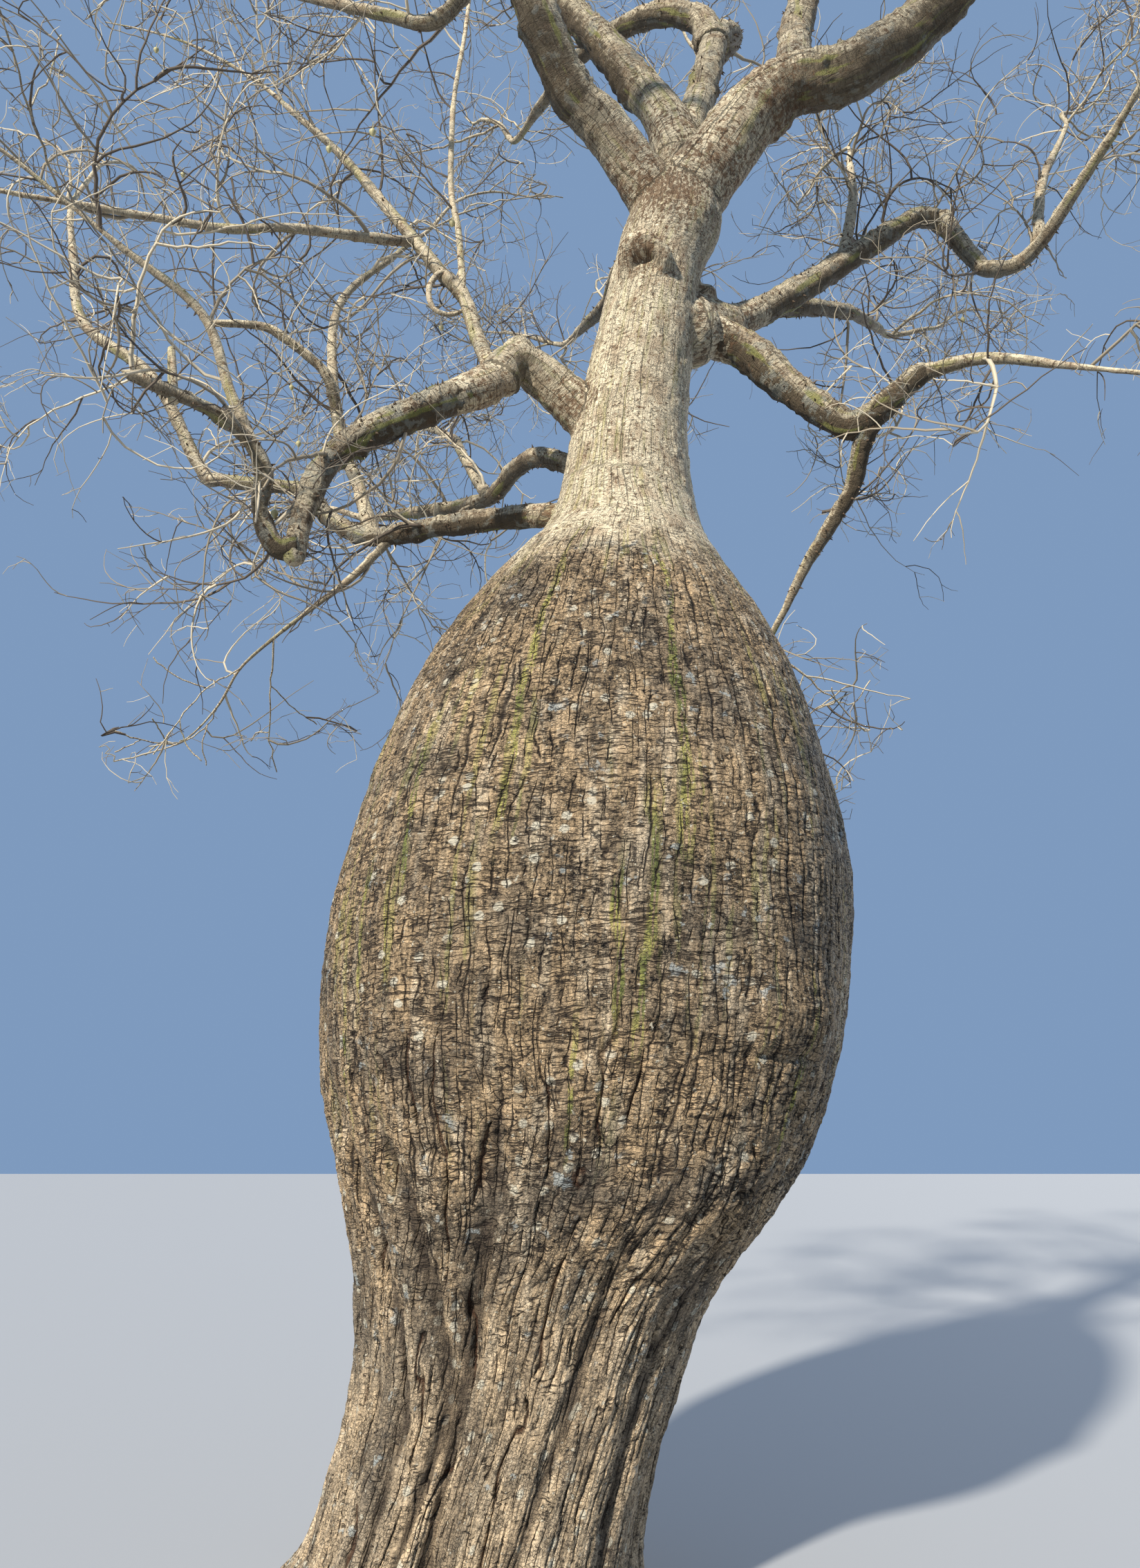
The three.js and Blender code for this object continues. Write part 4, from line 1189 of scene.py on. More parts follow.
# a closed tube round a part of a limb; sinks give how far it lies under the limb's own surface at
# its start and end, over a length, and there is a round cap at the end
def limbTube(row, sides, start=0.0, stop=None, sinks=(0, 0, 0.2), capped=False):
    chosen = row["lengths"] >= start
    if stop is not None:
        chosen &= row["lengths"] <= stop
    path, along, side, across, lengths, radii = [row[key][chosen] for key in rowKeys]
    atStart, atEnd, over = sinks
    radii = radii - (atStart * (1 - smooth(0, over, lengths - lengths[0]))
                     + atEnd * smooth(-over, 0, lengths - lengths[-1]))
    if capped:
        turns = np.array(limbRow["cap"]) * math.pi / 2
        path = np.concatenate([path, path[-1] + along[-1] * (radii[-1] * np.sin(turns))[:, None]])
        lengths = np.concatenate([lengths, lengths[-1] + radii[-1] * np.sin(turns)])
        radii = np.concatenate([radii, radii[-1] * np.cos(turns)])
        along, side, across = [np.concatenate([rows, np.repeat(rows[-1:], len(turns), axis=0)])
                               for rows in (along, side, across)]
    turn = turnsOf(sides)
    round1, round2 = np.cos(turn)[None, :, None], np.sin(turn)[None, :, None]
    outward = side[:, None] * round1 + across[:, None] * round2
    verts = path[:, None] + outward * radii[:, None, None]
    ahead = np.broadcast_to((lengths + row["offset"])[:, None], (len(path), sides))
    place = np.concatenate([round1 * radii[:, None, None], round2 * radii[:, None, None], ahead[..., None]],
                           axis=-1)
    around = np.maximum(radii, limbRow["least"])[:, None]
    facing = wrapped(turn + math.pi)[None] * around + sheetShift
    charts = np.stack([wrapped(turn)[None] * around, facing, ahead], axis=-1)
    tip = path[-1] + along[-1] * radii[-1] * (0.1 if capped else 1.5)
    endPlace = np.array([[0, 0, lengths[0] + row["offset"]], [0, 0, lengths[-1] + row["offset"]]])
    quads, tris = facesOf(len(path), sides)
    return {"verts": np.concatenate([verts.reshape(-1, 3), [path[0], tip]]), "quads": quads, "tris": tris,
            "outward": np.concatenate([outward.reshape(-1, 3), np.zeros((2, 3))]),
            "barkPlace": np.concatenate([place.reshape(-1, 3), endPlace]),
            "charts": np.concatenate([charts.reshape(-1, 3), endPlace]),
            "girth": np.concatenate([np.repeat(radii, sides), radii[[0, -1]]])}


# several tubes as one mesh
def joined(name, tubes, marks):
    shift = np.cumsum([0] + [len(tube["verts"]) for tube in tubes])[:-1]
    quads = np.concatenate([tube["quads"] + s for tube, s in zip(tubes, shift)])
    tris = np.concatenate([tube["tris"] + s for tube, s in zip(tubes, shift)])
    kept = {mark: np.concatenate([tube[mark] for tube in tubes]) for mark in marks}
    return meshOf(name, np.concatenate([tube["verts"] for tube in tubes]), quads, tris, kept)


# limbs that are fused with the neck, up to this length in metres, and the ones fused all along
neckSkin = {
    "from": 4.20, "step": 0.03, "voxel": 0.0124, "smoothing": 7, "sink": 0.012, "wrinkles": 0.020,
    "stubs": {
        "bough_left": None, "bough_left_arch": 0.40, "bough_left_riser": 0.28, "bough_low_left": 0.66,
        "bough_back_left": 0.62, "bough_right_shoulder": None, "bough_right": 0.46, "bough_low_right": 0.46,
        "bough_back_right": 0.46, "bough_upper_right": 1.25, "bough_upper_right_riser": 0.50,
        "bough_front_left": 0.90, "bough_upper_left": 0.75, "bough_middle": 0.70, "bough_back": 0.62},
    # knobs and burls: centre, radius, stretch up
    "knobs": [
        [(0.10, -0.19, 5.12), 0.085, 1.1], [(0.17, -0.13, 5.33), 0.080, 0.8],
        [(1.46, -0.09, 6.86), 0.175, 1.0], [(1.13, 0.12, 5.85), 0.060, 0.8],
        [(0.56, -0.02, 4.86), 0.135, 1.2], [(1.02, 0.06, 5.57), 0.175, 1.1]],
    "sides": {"neck": 40, "whole": 32, "stub": 28},
    "underNeck": 0.24, "underLimb": [0.010, 0.18],  # where the neck and the stubs go in, and how far
    # scabs where limbs part, at the scar, the largest knob and on the fork, with their sizes
    "crotchReach": 1.5, "scarScab": 0.095, "knobScab": [2, 0.16], "forkScab": [(0.91, -0.12, 6.24), 0.17],
    "reach": 1.6,  # how far out along a limb the neck's mesh is taken for that limb
    "turning": [0.25, 1.15],  # over this length the bark turns from the neck's to the limb's
    "frontShare": 0.55, "chunk": 4000,
}


def ballMesh(centre, radius, tall):
    rows, sides = 7, 12
    polar, turn = np.linspace(0, math.pi, rows + 2)[1:-1], turnsOf(sides)
    unitBall = np.stack([np.sin(polar)[:, None] * np.cos(turn), np.sin(polar)[:, None] * np.sin(turn),
                         np.repeat(-np.cos(polar)[:, None], sides, axis=1)], axis=-1)
    verts = np.concatenate([unitBall.reshape(-1, 3), [[0, 0, -1], [0, 0, 1]]])
    quads, tris = facesOf(rows, sides)
    return {"verts": verts * [radius, radius, radius * tall] + centre, "quads": quads, "tris": tris}


scarRolled = {
    "sides": 20, "droop": -0.22,  # rise of its axis out of the neck
    # share of its radius, and how proud it stands there
    "profile": [(0.95, -0.9), (1.10, -0.2), (1.14, 0.40), (1.04, 0.85), (0.84, 1.0), (0.64, 0.86),
                (0.52, 0.55), (0.46, 0.0), (0.38, -0.45), (0.2, -0.6)],
    "hollow": [0.14, -0.42],  # how far aside and down its hollow lies
}


# the healed scar: a rolled collar round a hollow, turned on its own axis out of the neck
def scarMesh():
    scar = trunk["scar"]
    lean, back, radius = trunkAt(scar["height"] * mm)
    angle = math.radians(scar["azimuth"])
    out = unit(np.array([math.cos(angle), math.sin(angle), scarRolled["droop"]]))
    side = unit(np.cross(up, out))
    over = np.cross(out, side)
    wide, proud = scar["radius"] * mm, scar["proud"] * mm
    sides, profile = scarRolled["sides"], scarRolled["profile"]
    turn = turnsOf(sides)
    rim = 1 + 0.07 * np.cos(3 * turn + 0.7) + 0.05 * np.cos(5 * turn)
    lip = 0.70 + 0.40 * np.sin(turn)
    centre = np.array([lean, back, scar["height"] * mm]) + out * radius
    aside, lower = scarRolled["hollow"]
    lowered = (side * aside + over * lower) * wide
    spokes = side * np.cos(turn)[:, None] + over * np.sin(turn)[:, None]
    verts = []
    for reach, height in profile:
        rise = height * (lip if height > 0 else 1)
        dropped = centre + lowered * float(np.interp(reach, [0.4, 1.0], [1, 0]))
        ring = dropped + spokes * (wide * reach * rim)[:, None]
        verts.append(ring + out * (proud * np.ones(sides) * rise)[:, None])
    ends = [[centre - out * proud * 0.9, centre + lowered - out * proud * 0.6]]
    quads, tris = facesOf(len(profile), sides)
    return {"verts": np.concatenate(verts + ends), "quads": quads, "tris": tris}


neckHeights = np.arange(neckSkin["from"], trunk["top"] * mm, neckSkin["step"])
neckLean, neckBack, neckRadius = trunkAt(neckHeights)
neckPath = np.stack([neckLean, neckBack, neckHeights], axis=1)
neckLimb = {"path": neckPath, "radii": neckRadius, "lengths": neckHeights, "offset": 0.0,
            "along": np.tile(up, (len(neckPath), 1)), "side": np.tile([1.0, 0, 0], (len(neckPath), 1)),
            "across": np.tile([0, 1.0, 0], (len(neckPath), 1))}

# where each fused limb leaves what carries it, with its size there
exits = []
for name in neckSkin["stubs"]:
    bough, row = boughs[boughNames.index(name)], limbs[name]
    if bough["on"] == "trunk":
        carrier = float(trunkAt(bough["at"] * mm)[2])
    else:
        parent = limbs[bough["on"]]
        carrier = float(np.interp(bough["at"] * parent["boughEnd"], parent["lengths"], parent["radii"]))
    at = np.searchsorted(row["lengths"], carrier * 1.05)
    exits.append((row["path"][at], bough["base"] * mm))
scarTurn = math.radians(trunk["scar"]["azimuth"])
scarHeight = trunk["scar"]["height"] * mm
scarLean, scarBack, scarReach = trunkAt(scarHeight)
exits.append((np.array([scarLean + scarReach * math.cos(scarTurn), scarBack + scarReach * math.sin(scarTurn),
                        scarHeight]), neckSkin["scarScab"]))
knob, size = neckSkin["knobScab"]
exits.append((np.array(neckSkin["knobs"][knob][0]), size))
exits.append((np.array(neckSkin["forkScab"][0]), neckSkin["forkScab"][1]))


# how near each point is to where a limb leaves, from 0 to 1
def crotchAt(points):
    near = np.zeros(len(points))
    for exit, size in exits:
        away = np.linalg.norm(points - exit, axis=1) / (neckSkin["crotchReach"] * size)
        near = np.maximum(near, np.exp(-away ** 2))
    return near


# for each point of the neck's mesh the nearest limb, and its place on that limb made straight
def straightened(points):
    rows = {key: [] for key in rowKeys + ("onLimb", "pattern")}
    for row, onLimb in [(neckLimb, 0)] + [(limbs[name], 1) for name in neckSkin["stubs"]]:
        inside = row["lengths"] < (neckSkin["reach"] if onLimb else np.inf)
        for key in rowKeys:
            rows[key].append(row[key][inside])
        rows["pattern"].append(row["lengths"][inside] + row["offset"])
        rows["onLimb"].append(np.full(inside.sum(), onLimb))
    rows = {key: np.concatenate(values) for key, values in rows.items()}
    near = np.zeros(len(points), dtype=int)
    chunk = neckSkin["chunk"]
    for start in range(0, len(points), chunk):
        some = points[start:start + chunk]
        gaps = np.linalg.norm(some[:, None] - rows["path"][None], axis=2) - rows["radii"][None]
        near[start:start + chunk] = gaps.argmin(axis=1)
    rows = {key: values[near] for key, values in rows.items()}
    away = points - rows["path"]
    angle = np.arctan2((away * rows["across"]).sum(1), (away * rows["side"]).sum(1))
    forward = (away * rows["along"]).sum(1)
    onLimb, girth = rows["onLimb"], rows["radii"]
    turning = onLimb * smooth(*neckSkin["turning"], rows["lengths"] + forward)
    reach = np.where(onLimb > 0, girth, patternReach(girth))
    length = rows["pattern"] + forward
    place = np.stack([reach * np.cos(angle), reach * np.sin(angle), length], axis=1)
    around = np.where(onLimb > 0, girth, skin["patternRadius"] * neckSkin["frontShare"])
    charts = np.stack([*bothSheets(angle, around), length], axis=1)
    return place, charts, girth, turning


def readPoints(mesh, key):
    values = np.zeros(len(mesh.vertices) * 3, dtype=np.float32)
    mesh.vertices.foreach_get(key, values)
    return values.reshape(-1, 3)


def makeNeck():
    sides, (sink, over) = neckSkin["sides"], neckSkin["underLimb"]
    neckSinks = (neckSkin["sink"], 0, neckSkin["underNeck"])
    parts = [limbTube(neckLimb, sides["neck"], sinks=neckSinks, capped=True), scarMesh()]
    for name, stop in neckSkin["stubs"].items():
        if stop is None:
            parts.append(limbTube(limbs[name], sides["whole"], capped=True))
        else:
            parts.append(limbTube(limbs[name], sides["stub"], stop=stop, sinks=(0, sink, over), capped=True))
    parts += [ballMesh(np.array(centre), radius, tall) for centre, radius, tall in neckSkin["knobs"]]
    piece = pieceOf("neckAndFork", joined("neckAndFork", parts, []))
    remesh = piece.modifiers.new("fuse", "REMESH")
    remesh.mode = "VOXEL"
    remesh.voxel_size = neckSkin["voxel"]
    settle = piece.modifiers.new("settle", "SMOOTH")
    settle.factor = 0.5
    settle.iterations = neckSkin["smoothing"]
    keepShape(piece)
    mesh = piece.data
    points = readPoints(mesh, "co").astype(float)
    place, charts, girth, turning = straightened(points)
    markMesh(mesh, {
        "barkPlace": place, "charts": charts, "girth": girth, "outward": readPoints(mesh, "normal"),
        "crotch": crotchAt(points), "patchy": turning})
    mesh.shade_smooth()
    shapeBy(piece, limbRelief, {"Lumps": 1.0, "Wrinkles": neckSkin["wrinkles"], "Bark": limbBark})
    return piece


neckPiece = makeNeck()
print("neck and fork:", len(neckPiece.data.polygons))


# the other limbs: tubes that start inside the fused stub or the parent limb
limbSkin = {
    "sides": [[0.028, 14], [0.045, 20], [0.075, 26], [1.0, 34]],  # up to each root radius in metres
    "twigSides": {1: 8, 2: 6}, "slenderSides": 12,
    "lap": 0.24, "under": [0.010, 0.17],  # how far they start inside, and how they come out
    "wrinkles": 0.014, "twigParts": 5, "kink": 0.10,
    "groups": {"leftLimbs": ("left", "low_left", "back_left"),
               "rightLimbs": ("right", "low_right", "back_right"),
               "topLimbs": ("upper", "front", "middle", "back")},
    # how much rougher and browner than the others some limbs are
    "rougher": {"bough_low_right_hanging": 2.0, "bough_low_right": 1.4, "bough_upper_left": 1.3,
                "bough_low_left_drooping": 1.5, "bough_left_arch": 1.5, "bough_left_hook": 1.8,
                "bough_low_left": 1.3},
}
thickRng = np.random.default_rng(5)


def sidesFor(radius):
    return next(sides for upTo, sides in limbSkin["sides"] if radius <= upTo)


# the thicker twigs of the masses, smoothed, with small kinks between their bends
def thickTwigPath(row):
    parts = limbSkin["twigParts"]
    path = smoothRow(list(row["points"]), parts) * mm
    step = np.linalg.norm(path[1] - path[0])
    kink = thickRng.normal(size=path.shape) * step * limbSkin["kink"]
    kink[::parts] = 0
    radii = np.interp(np.arange(len(path)) / parts, np.arange(len(row["radii"])), row["radii"]) * mm
    return path + kink, radii


def limbGroup(name):
    place = name.split("_", 1)[1]
    return next(group for group, starts in limbSkin["groups"].items() if place.startswith(starts))


# keeps a tube for its group, with how near it is to where limbs part and how patchy its bark is
def addTube(group, tube, crotch=0.0, patchy=1.0):
    count = len(tube["verts"])
    tube["crotch"], tube["patchy"] = np.zeros(count) + crotch, np.full(count, patchy)
    limbTubes[group].append(tube)


twigPaths = []
limbTubes = {group: [] for group in limbSkin["groups"]}
for bough in boughs:
    name = bough["name"]
    stop = neckSkin["stubs"].get(name, 0)
    if stop is None:
        continue
    sink, over = limbSkin["under"]
    tube = limbTube(limbs[name], sidesFor(bough["base"] * mm), start=max(0, stop - limbSkin["lap"]),
                    sinks=(sink if stop else 0.0, 0, over), capped=bough["end"] == "round")
    addTube(limbGroup(name), tube, crotchAt(tube["verts"]), limbSkin["rougher"].get(name, 1.0))
for number, row in enumerate(thickTwigs):
    owner = spaces[row["home"]]["bough"]
    if row["level"] == 0:
        stem = limbs[owner]
        beyond = stem["lengths"] > stem["boughEnd"] + 0.05
        twigPaths.append({"home": row["home"], "path": stem["path"][beyond][::4],
                          "radii": stem["radii"][beyond][::4]})
        continue
    path, radii = thickTwigPath(row)
    twigPaths.append({"home": row["home"], "path": path, "radii": radii})
    frames = framed(path, radii, lengthsAlong(path), offsetOf("twig", number))
    addTube(limbGroup(owner), limbTube(frames, limbSkin["twigSides"][row["level"]]))

# limbs too slender or too short for the solids: points, radii at both ends, and the mass that a live
# one carries twigs of
slender = {
    "shoot": {"girth": [0.019, 0.012], "twigsOf": "twigs_left_riser", "points": [
        (-0.12, 0.0, 5.70), (-0.17, 0.10, 6.22), (-0.23, 0.20, 6.59), (-0.25, 0.30, 7.15),
        (-0.25, 0.40, 7.52), (-0.22, 0.50, 8.01), (-0.21, 0.60, 8.42)]},
    "deadLimb": {"girth": [0.034, 0.019], "points": [
        (-0.915, 0.82, 5.60), (-0.95, 0.72, 5.74), (-1.015, 0.69, 5.84), (-1.22, 0.62, 5.98),
        (-1.31, 0.60, 6.02), (-1.43, 0.56, 6.01), (-1.56, 0.52, 5.985)]},
    "snag": {"girth": [0.021, 0.017], "points": [
        (-1.18, -0.90, 4.50), (-1.20, -0.89, 4.63), (-1.22, -0.88, 4.76)]},
    "coil": {"girth": [0.019, 0.010], "points": [
        (-0.15, 0.06, 5.86), (-0.24, 0.03, 5.91), (-0.30, 0.00, 5.79), (-0.27, -0.02, 5.65),
        (-0.18, -0.01, 5.62), (-0.11, 0.02, 5.68)]},
}
for number, row in enumerate(slender.values()):
    path = smoothRow([np.array(point) for point in row["points"]], 10)
    path, radii, lengths = evenly(path, np.linspace(*row["girth"], len(path)), limbRow["step"]["slender"])
    frames = framed(path, radii, lengths, offsetOf("slender", number))
    addTube("leftLimbs", limbTube(frames, limbSkin["slenderSides"], capped=True))
    if "twigsOf" in row:
        home = next(i for i, other in enumerate(spaces) if other["name"] == row["twigsOf"])
        twigPaths.append({"home": home, "path": path[::4], "radii": radii[::4]})

limbPieces = {neckPiece: ["trunk"] + [name for name, stop in neckSkin["stubs"].items() if stop is None]}
limbMarks = ["barkPlace", "charts", "outward", "girth", "crotch", "patchy"]
for group, tubes in limbTubes.items():
    piece = pieceOf(group, joined(group, tubes, limbMarks))
    shapeBy(piece, limbRelief, {"Lumps": 1.0, "Wrinkles": limbSkin["wrinkles"], "Bark": limbBark})
    limbPieces[piece] = [name for name in boughNames if limbGroup(name) == group]
    print(group, len(piece.data.polygons))


# prickles: short cones on the faces of the middling limbs

prickle = {"density": 130, "seed": 3, "sides": 5, "radius": 0.0050, "tip": 0.0005, "length": 0.0150,
           "sizes": (0.6, 1.4), "from": (0.016, 0.024), "to": (0.100, 0.070),  # girths of their limbs
           "tint": (0.115, 0.080, 0.052, 1)}


# the bark of twigs and prickles, in one colour
def plainFinish(name, tint):
    material, desk = newFinish(name)
    coat(desk, {"Base Color": tint, "Roughness": 0.8, "Specular IOR Level": roughBark["gloss"]})
    return material


def makePrickles(carriers):
    tree, desk, given = newShape("prickles", {"Density": "NodeSocketFloat", "Bark": "NodeSocketMaterial"})
    carried = desk.node("GeometryNodeJoinGeometry")
    for carrier in carriers:
        info = desk.node("GeometryNodeObjectInfo", {}, {"Object": carrier})
        tree.links.new(info.outputs["Geometry"], carried.inputs[0])
    girth = readMark(desk, "girth")
    chosen = desk.rise(girth, *prickle["from"]) * desk.rise(girth, *prickle["to"]) * readMark(desk, "patchy")
    dotted = desk.node("GeometryNodeDistributePointsOnFaces", {}, {
        "Mesh": carried.outputs[0], "Density": chosen * given["Density"], "Seed": prickle["seed"]})
    cone = desk.node("GeometryNodeMeshCone", {"fill_type": "NGON"}, {
        "Vertices": prickle["sides"], "Radius Bottom": prickle["radius"], "Radius Top": prickle["tip"],
        "Depth": prickle["length"]})
    least, most = prickle["sizes"]
    size = desk.node("FunctionNodeRandomValue", {"data_type": "FLOAT"}, {
        2: least, 3: most, "Seed": prickle["seed"]})
    placed = desk.node("GeometryNodeInstanceOnPoints", {}, {
        "Points": dotted.outputs["Points"], "Instance": cone.outputs["Mesh"],
        "Rotation": dotted.outputs["Rotation"], "Scale": size.outputs[1]})
    closeShape(desk, placed.outputs[0], given["Bark"])
    piece = pieceOf("prickles", bpy.data.meshes.new("prickles"))
    bark = plainFinish("prickleBark", prickle["tint"])
    shapeBy(piece, tree, {"Density": prickle["density"], "Bark": bark})
    return piece


pricklePiece = makePrickles(list(limbPieces))
print("prickles:", len(pricklePiece.data.polygons))


# the finer twigs: four more orders, grown on from the thicker ones by the same rule

spray = {
    # the thickest ones: how far from the trunk's axis and up to which girth of a bough they stand
    "boughlets": {"every": 0.40, "from": 0.95, "upTo": 0.075, "start": [0.1, 0.4], "shift": 0.14,
                  "length": [0.60, 1.40], "steps": 14, "girth": [0.0112, 0.0024], "lift": 0.4},
    "orders": [
        {"length": [0.34, 0.90], "steps": 12, "girth": [0.0066, 0.0018], "every": 0.36, "chance": 0.46},
        {"length": [0.16, 0.48], "steps": 8, "girth": [0.0034, 0.0015], "chance": 0.30},
        {"length": [0.05, 0.17], "steps": 3, "girth": [0.0020, 0.0012], "chance": 0.30}],
    "bend": 0.42, "zigzag": 0.20, "sway": 0.30, "wave": 1.25, "askew": 0.6,
    # first mass, last mass, how much closer than elsewhere their twigs stand: the right side, the top
    "thickets": [[8, 16, 0.55], [17, 23, 0.70]],
    "edge": 0.985, "turnBack": 1.7,  # share of a mass's radius where twigs turn back, and how sharply
    "spread": [0.85, 1.2],  # variation of a twig's girth
    "clearance": 0.004, "margin": 0.03, "chunk": 1000,
    "seed": 29,
    # three plain twig tints dealt by spray, pale cream, grey-brown and near black: partly the twigs' own
    # variation, partly painted light and shade, the lit twigs pale and the shaded ones dark
    "shades": [(0.56, 0.49, 0.36, 1), (0.30, 0.255, 0.185, 1), (0.115, 0.092, 0.070, 1)],
    "shares": [0.30, 0.34, 0.36],
    "groups": {"spraysLeft": 5, "spraysOuterLeft": 5, "spraysRight": 5, "spraysUpper": 5, "spraysTop": 4},
}
sprayRng = np.random.default_rng(spray["seed"])
ballCentres = homes * mm
ballRadii = np.array([home["radius"] for home in spaces]) * mm
barkCentres, barkRadii = beads["centre"] * mm, beads["radius"] * mm
boxLow, boxHigh = np.array(solidsBox[0]) - spray["margin"], np.array(solidsBox[1]) + spray["margin"]


def unitRows(rows):
    return rows / np.maximum(np.linalg.norm(rows, axis=-1, keepdims=True), 1e-9)


def randomIn(pair, count):
    return between(pair, sprayRng.random(count))


# turns back the twigs that would leave the ball of their mass, or the reach of the tree
def keptInside(points, turn, stride, balls):
    ahead = points + turn * stride[:, None]
    ball = np.maximum(balls, 0)
    away = ahead - ballCentres[ball]
    leaving = (balls >= 0) & (np.linalg.norm(away, axis=1) > ballRadii[ball] * spray["edge"])
    out = unitRows(away)
    outgoing = np.maximum((turn * out).sum(1), 0) * leaving
    turn = turn - out * (spray["turnBack"] * outgoing)[:, None]
    turn = np.where((ahead < boxLow) & (turn < 0) | (ahead > boxHigh) & (turn > 0), -turn, turn)
    return unitRows(turn)


# rows of points that grow all at once, each bending its own way with a zigzag
def grown(roots, headings, lengths, balls, steps):
    count = len(roots)
    stride = lengths / steps
    turn = headings
    curl, uncurl = sprayRng.uniform(-1, 1, (2, count, 3)) * twig["curl"]
    zig = unitRows(np.cross(headings, sprayRng.normal(size=(count, 3))))
    points = [roots]
    for step in range(steps):
        wave = curl + uncurl * (1 - 2 * step / steps)
        sway = sprayRng.uniform(-spray["sway"], spray["sway"], (count, 3))
        sway = (sway + wave * spray["wave"]) * spray["bend"]
        outward = unitRows(points[-1] - crownMiddle * mm) * twig["outward"] * 0.5
        swing = zig * (spray["zigzag"] if step % 2 else -spray["zigzag"])
        turn = unitRows(turn + sway + outward + swing + up * twig["lift"])
        turn = keptInside(points[-1], turn, stride, balls)
        points.append(points[-1] + turn * stride[:, None])
    return np.stack(points, axis=1), zig


# twigs that would run through a limb are left out
def clearOf(points):
    clear = np.ones(len(points), dtype=bool)
    chunk = spray["chunk"]
    for start in range(0, len(points), chunk):
        some = points[start:start + chunk, 2:].reshape(-1, 1, 3)
        gaps = (np.linalg.norm(some - barkCentres[None], axis=2) - barkRadii[None]).min(axis=1)
        free = (gaps > spray["clearance"]).reshape(-1, points.shape[1] - 2)
        clear[start:start + chunk] = free.all(axis=1)
    return clear


# a heading that forks from a twig, on a given side of it
def forked(along, side):
    side = unitRows(side - along * (side * along).sum(1)[:, None])
    fork = randomIn(twig["fork"], len(along))[:, None]
    return along * np.cos(fork) + side * np.sin(fork)


sprays = []


# one order of twigs on given roots; returns their rows of points
def sprout(order, roots, along, side, balls, homesOf):
    lengths = randomIn(order["length"], len(roots))
    points, zig = grown(roots, forked(along, side), lengths, balls, order["steps"])
    kept = clearOf(points)
    points, zig, balls, homesOf = points[kept], zig[kept], balls[kept], homesOf[kept]
    girths = np.linspace(order["girth"][0], order["girth"][1], order["steps"] + 1)
    spread = randomIn(spray["spread"], len(points))
    sprays.append({"points": points, "girths": girths[None] * spread[:, None], "homes": homesOf})
    return {"points": points, "zig": zig, "balls": balls, "homes": homesOf}


# the roots of the next order: the inner bends of the one before, mostly on the side that bends out
def bendsOf(row, chance):
    points = row["points"]
    count, steps = len(points), points.shape[1] - 1
    chosen = sprayRng.random((count, steps - 1)) < chance
    which, bend = np.nonzero(chosen)
    bend = bend + 1
    along = unitRows(points[which, bend + 1] - points[which, bend - 1])
    side = row["zig"][which] * np.where(bend % 2, 1, -1)[:, None]
    side = side + sprayRng.normal(size=along.shape) * spray["askew"]
    return points[which, bend], along, side, row["balls"][which], row["homes"][which]


def nearestHome(points):
    gaps = np.linalg.norm(points[:, None] - ballCentres[None], axis=2) - ballRadii[None]
    return gaps.argmin(axis=1)


# small twigs straight on the boughs, beyond the first metre from the trunk
def boughletRoots():
    roots, along, few = [], [], spray["boughlets"]
    for name in boughNames:
        row = limbs[name]
        at = np.arange(sprayRng.uniform(*few["start"]), row["boughEnd"], few["every"])
        at = at + sprayRng.uniform(-few["shift"], few["shift"], len(at))
        index = np.clip(np.searchsorted(row["lengths"], at), 1, len(row["lengths"]) - 2)
        lean, back = trunkAt(row["path"][index][:, 2])[:2]
        fromAxis = np.hypot(row["path"][index][:, 0] - lean, row["path"][index][:, 1] - back)
        index = index[(fromAxis > few["from"]) & (row["radii"][index] < few["upTo"])]
        roots.append(row["path"][index])
        along.append(row["along"][index])
    return np.concatenate(roots), np.concatenate(along)


def twigRoots(order):
    roots, along, homesOf = [], [], []
    for row in twigPaths:
        lengths = lengthsAlong(row["path"])
        every = order["every"]
        for firstThick, lastThick, closer in spray["thickets"]:
            every *= closer if firstThick <= row["home"] <= lastThick else 1
        at = np.arange(every * sprayRng.uniform(0.5, 1.5), lengths[-1], every)
        at = at + sprayRng.uniform(-0.5, 0.5, len(at)) * every
        index = np.clip(np.searchsorted(lengths, at), 1, len(lengths) - 1)
        share = ((at - lengths[index - 1]) / (lengths[index] - lengths[index - 1]))[:, None]
        ends = row["path"][index - 1], row["path"][index]
        roots.append(ends[0] + (ends[1] - ends[0]) * np.clip(share, 0, 1))
        along.append(unitRows(ends[1] - ends[0]))
        homesOf.append(np.full(len(at), row["home"]))
    return np.concatenate(roots), np.concatenate(along), np.concatenate(homesOf)


roots, along = boughletRoots()
nearest = nearestHome(roots)
side = sprayRng.normal(size=roots.shape) + up * spray["boughlets"]["lift"]
boughlets = sprout(spray["boughlets"], roots, along, side, np.full(len(roots), -1), nearest)

roots, along, homesOf = twigRoots(spray["orders"][0])
side = sprayRng.normal(size=roots.shape)
more = bendsOf(boughlets, spray["orders"][0]["chance"])
rows = [np.concatenate(pair) for pair in zip((roots, along, side, homesOf, homesOf), more)]
first = sprout(spray["orders"][0], *rows)
second = sprout(spray["orders"][1], *bendsOf(first, spray["orders"][1]["chance"]))
sprout(spray["orders"][2], *bendsOf(second, spray["orders"][2]["chance"]))
print("fine twigs:", [len(row["points"]) for row in sprays])
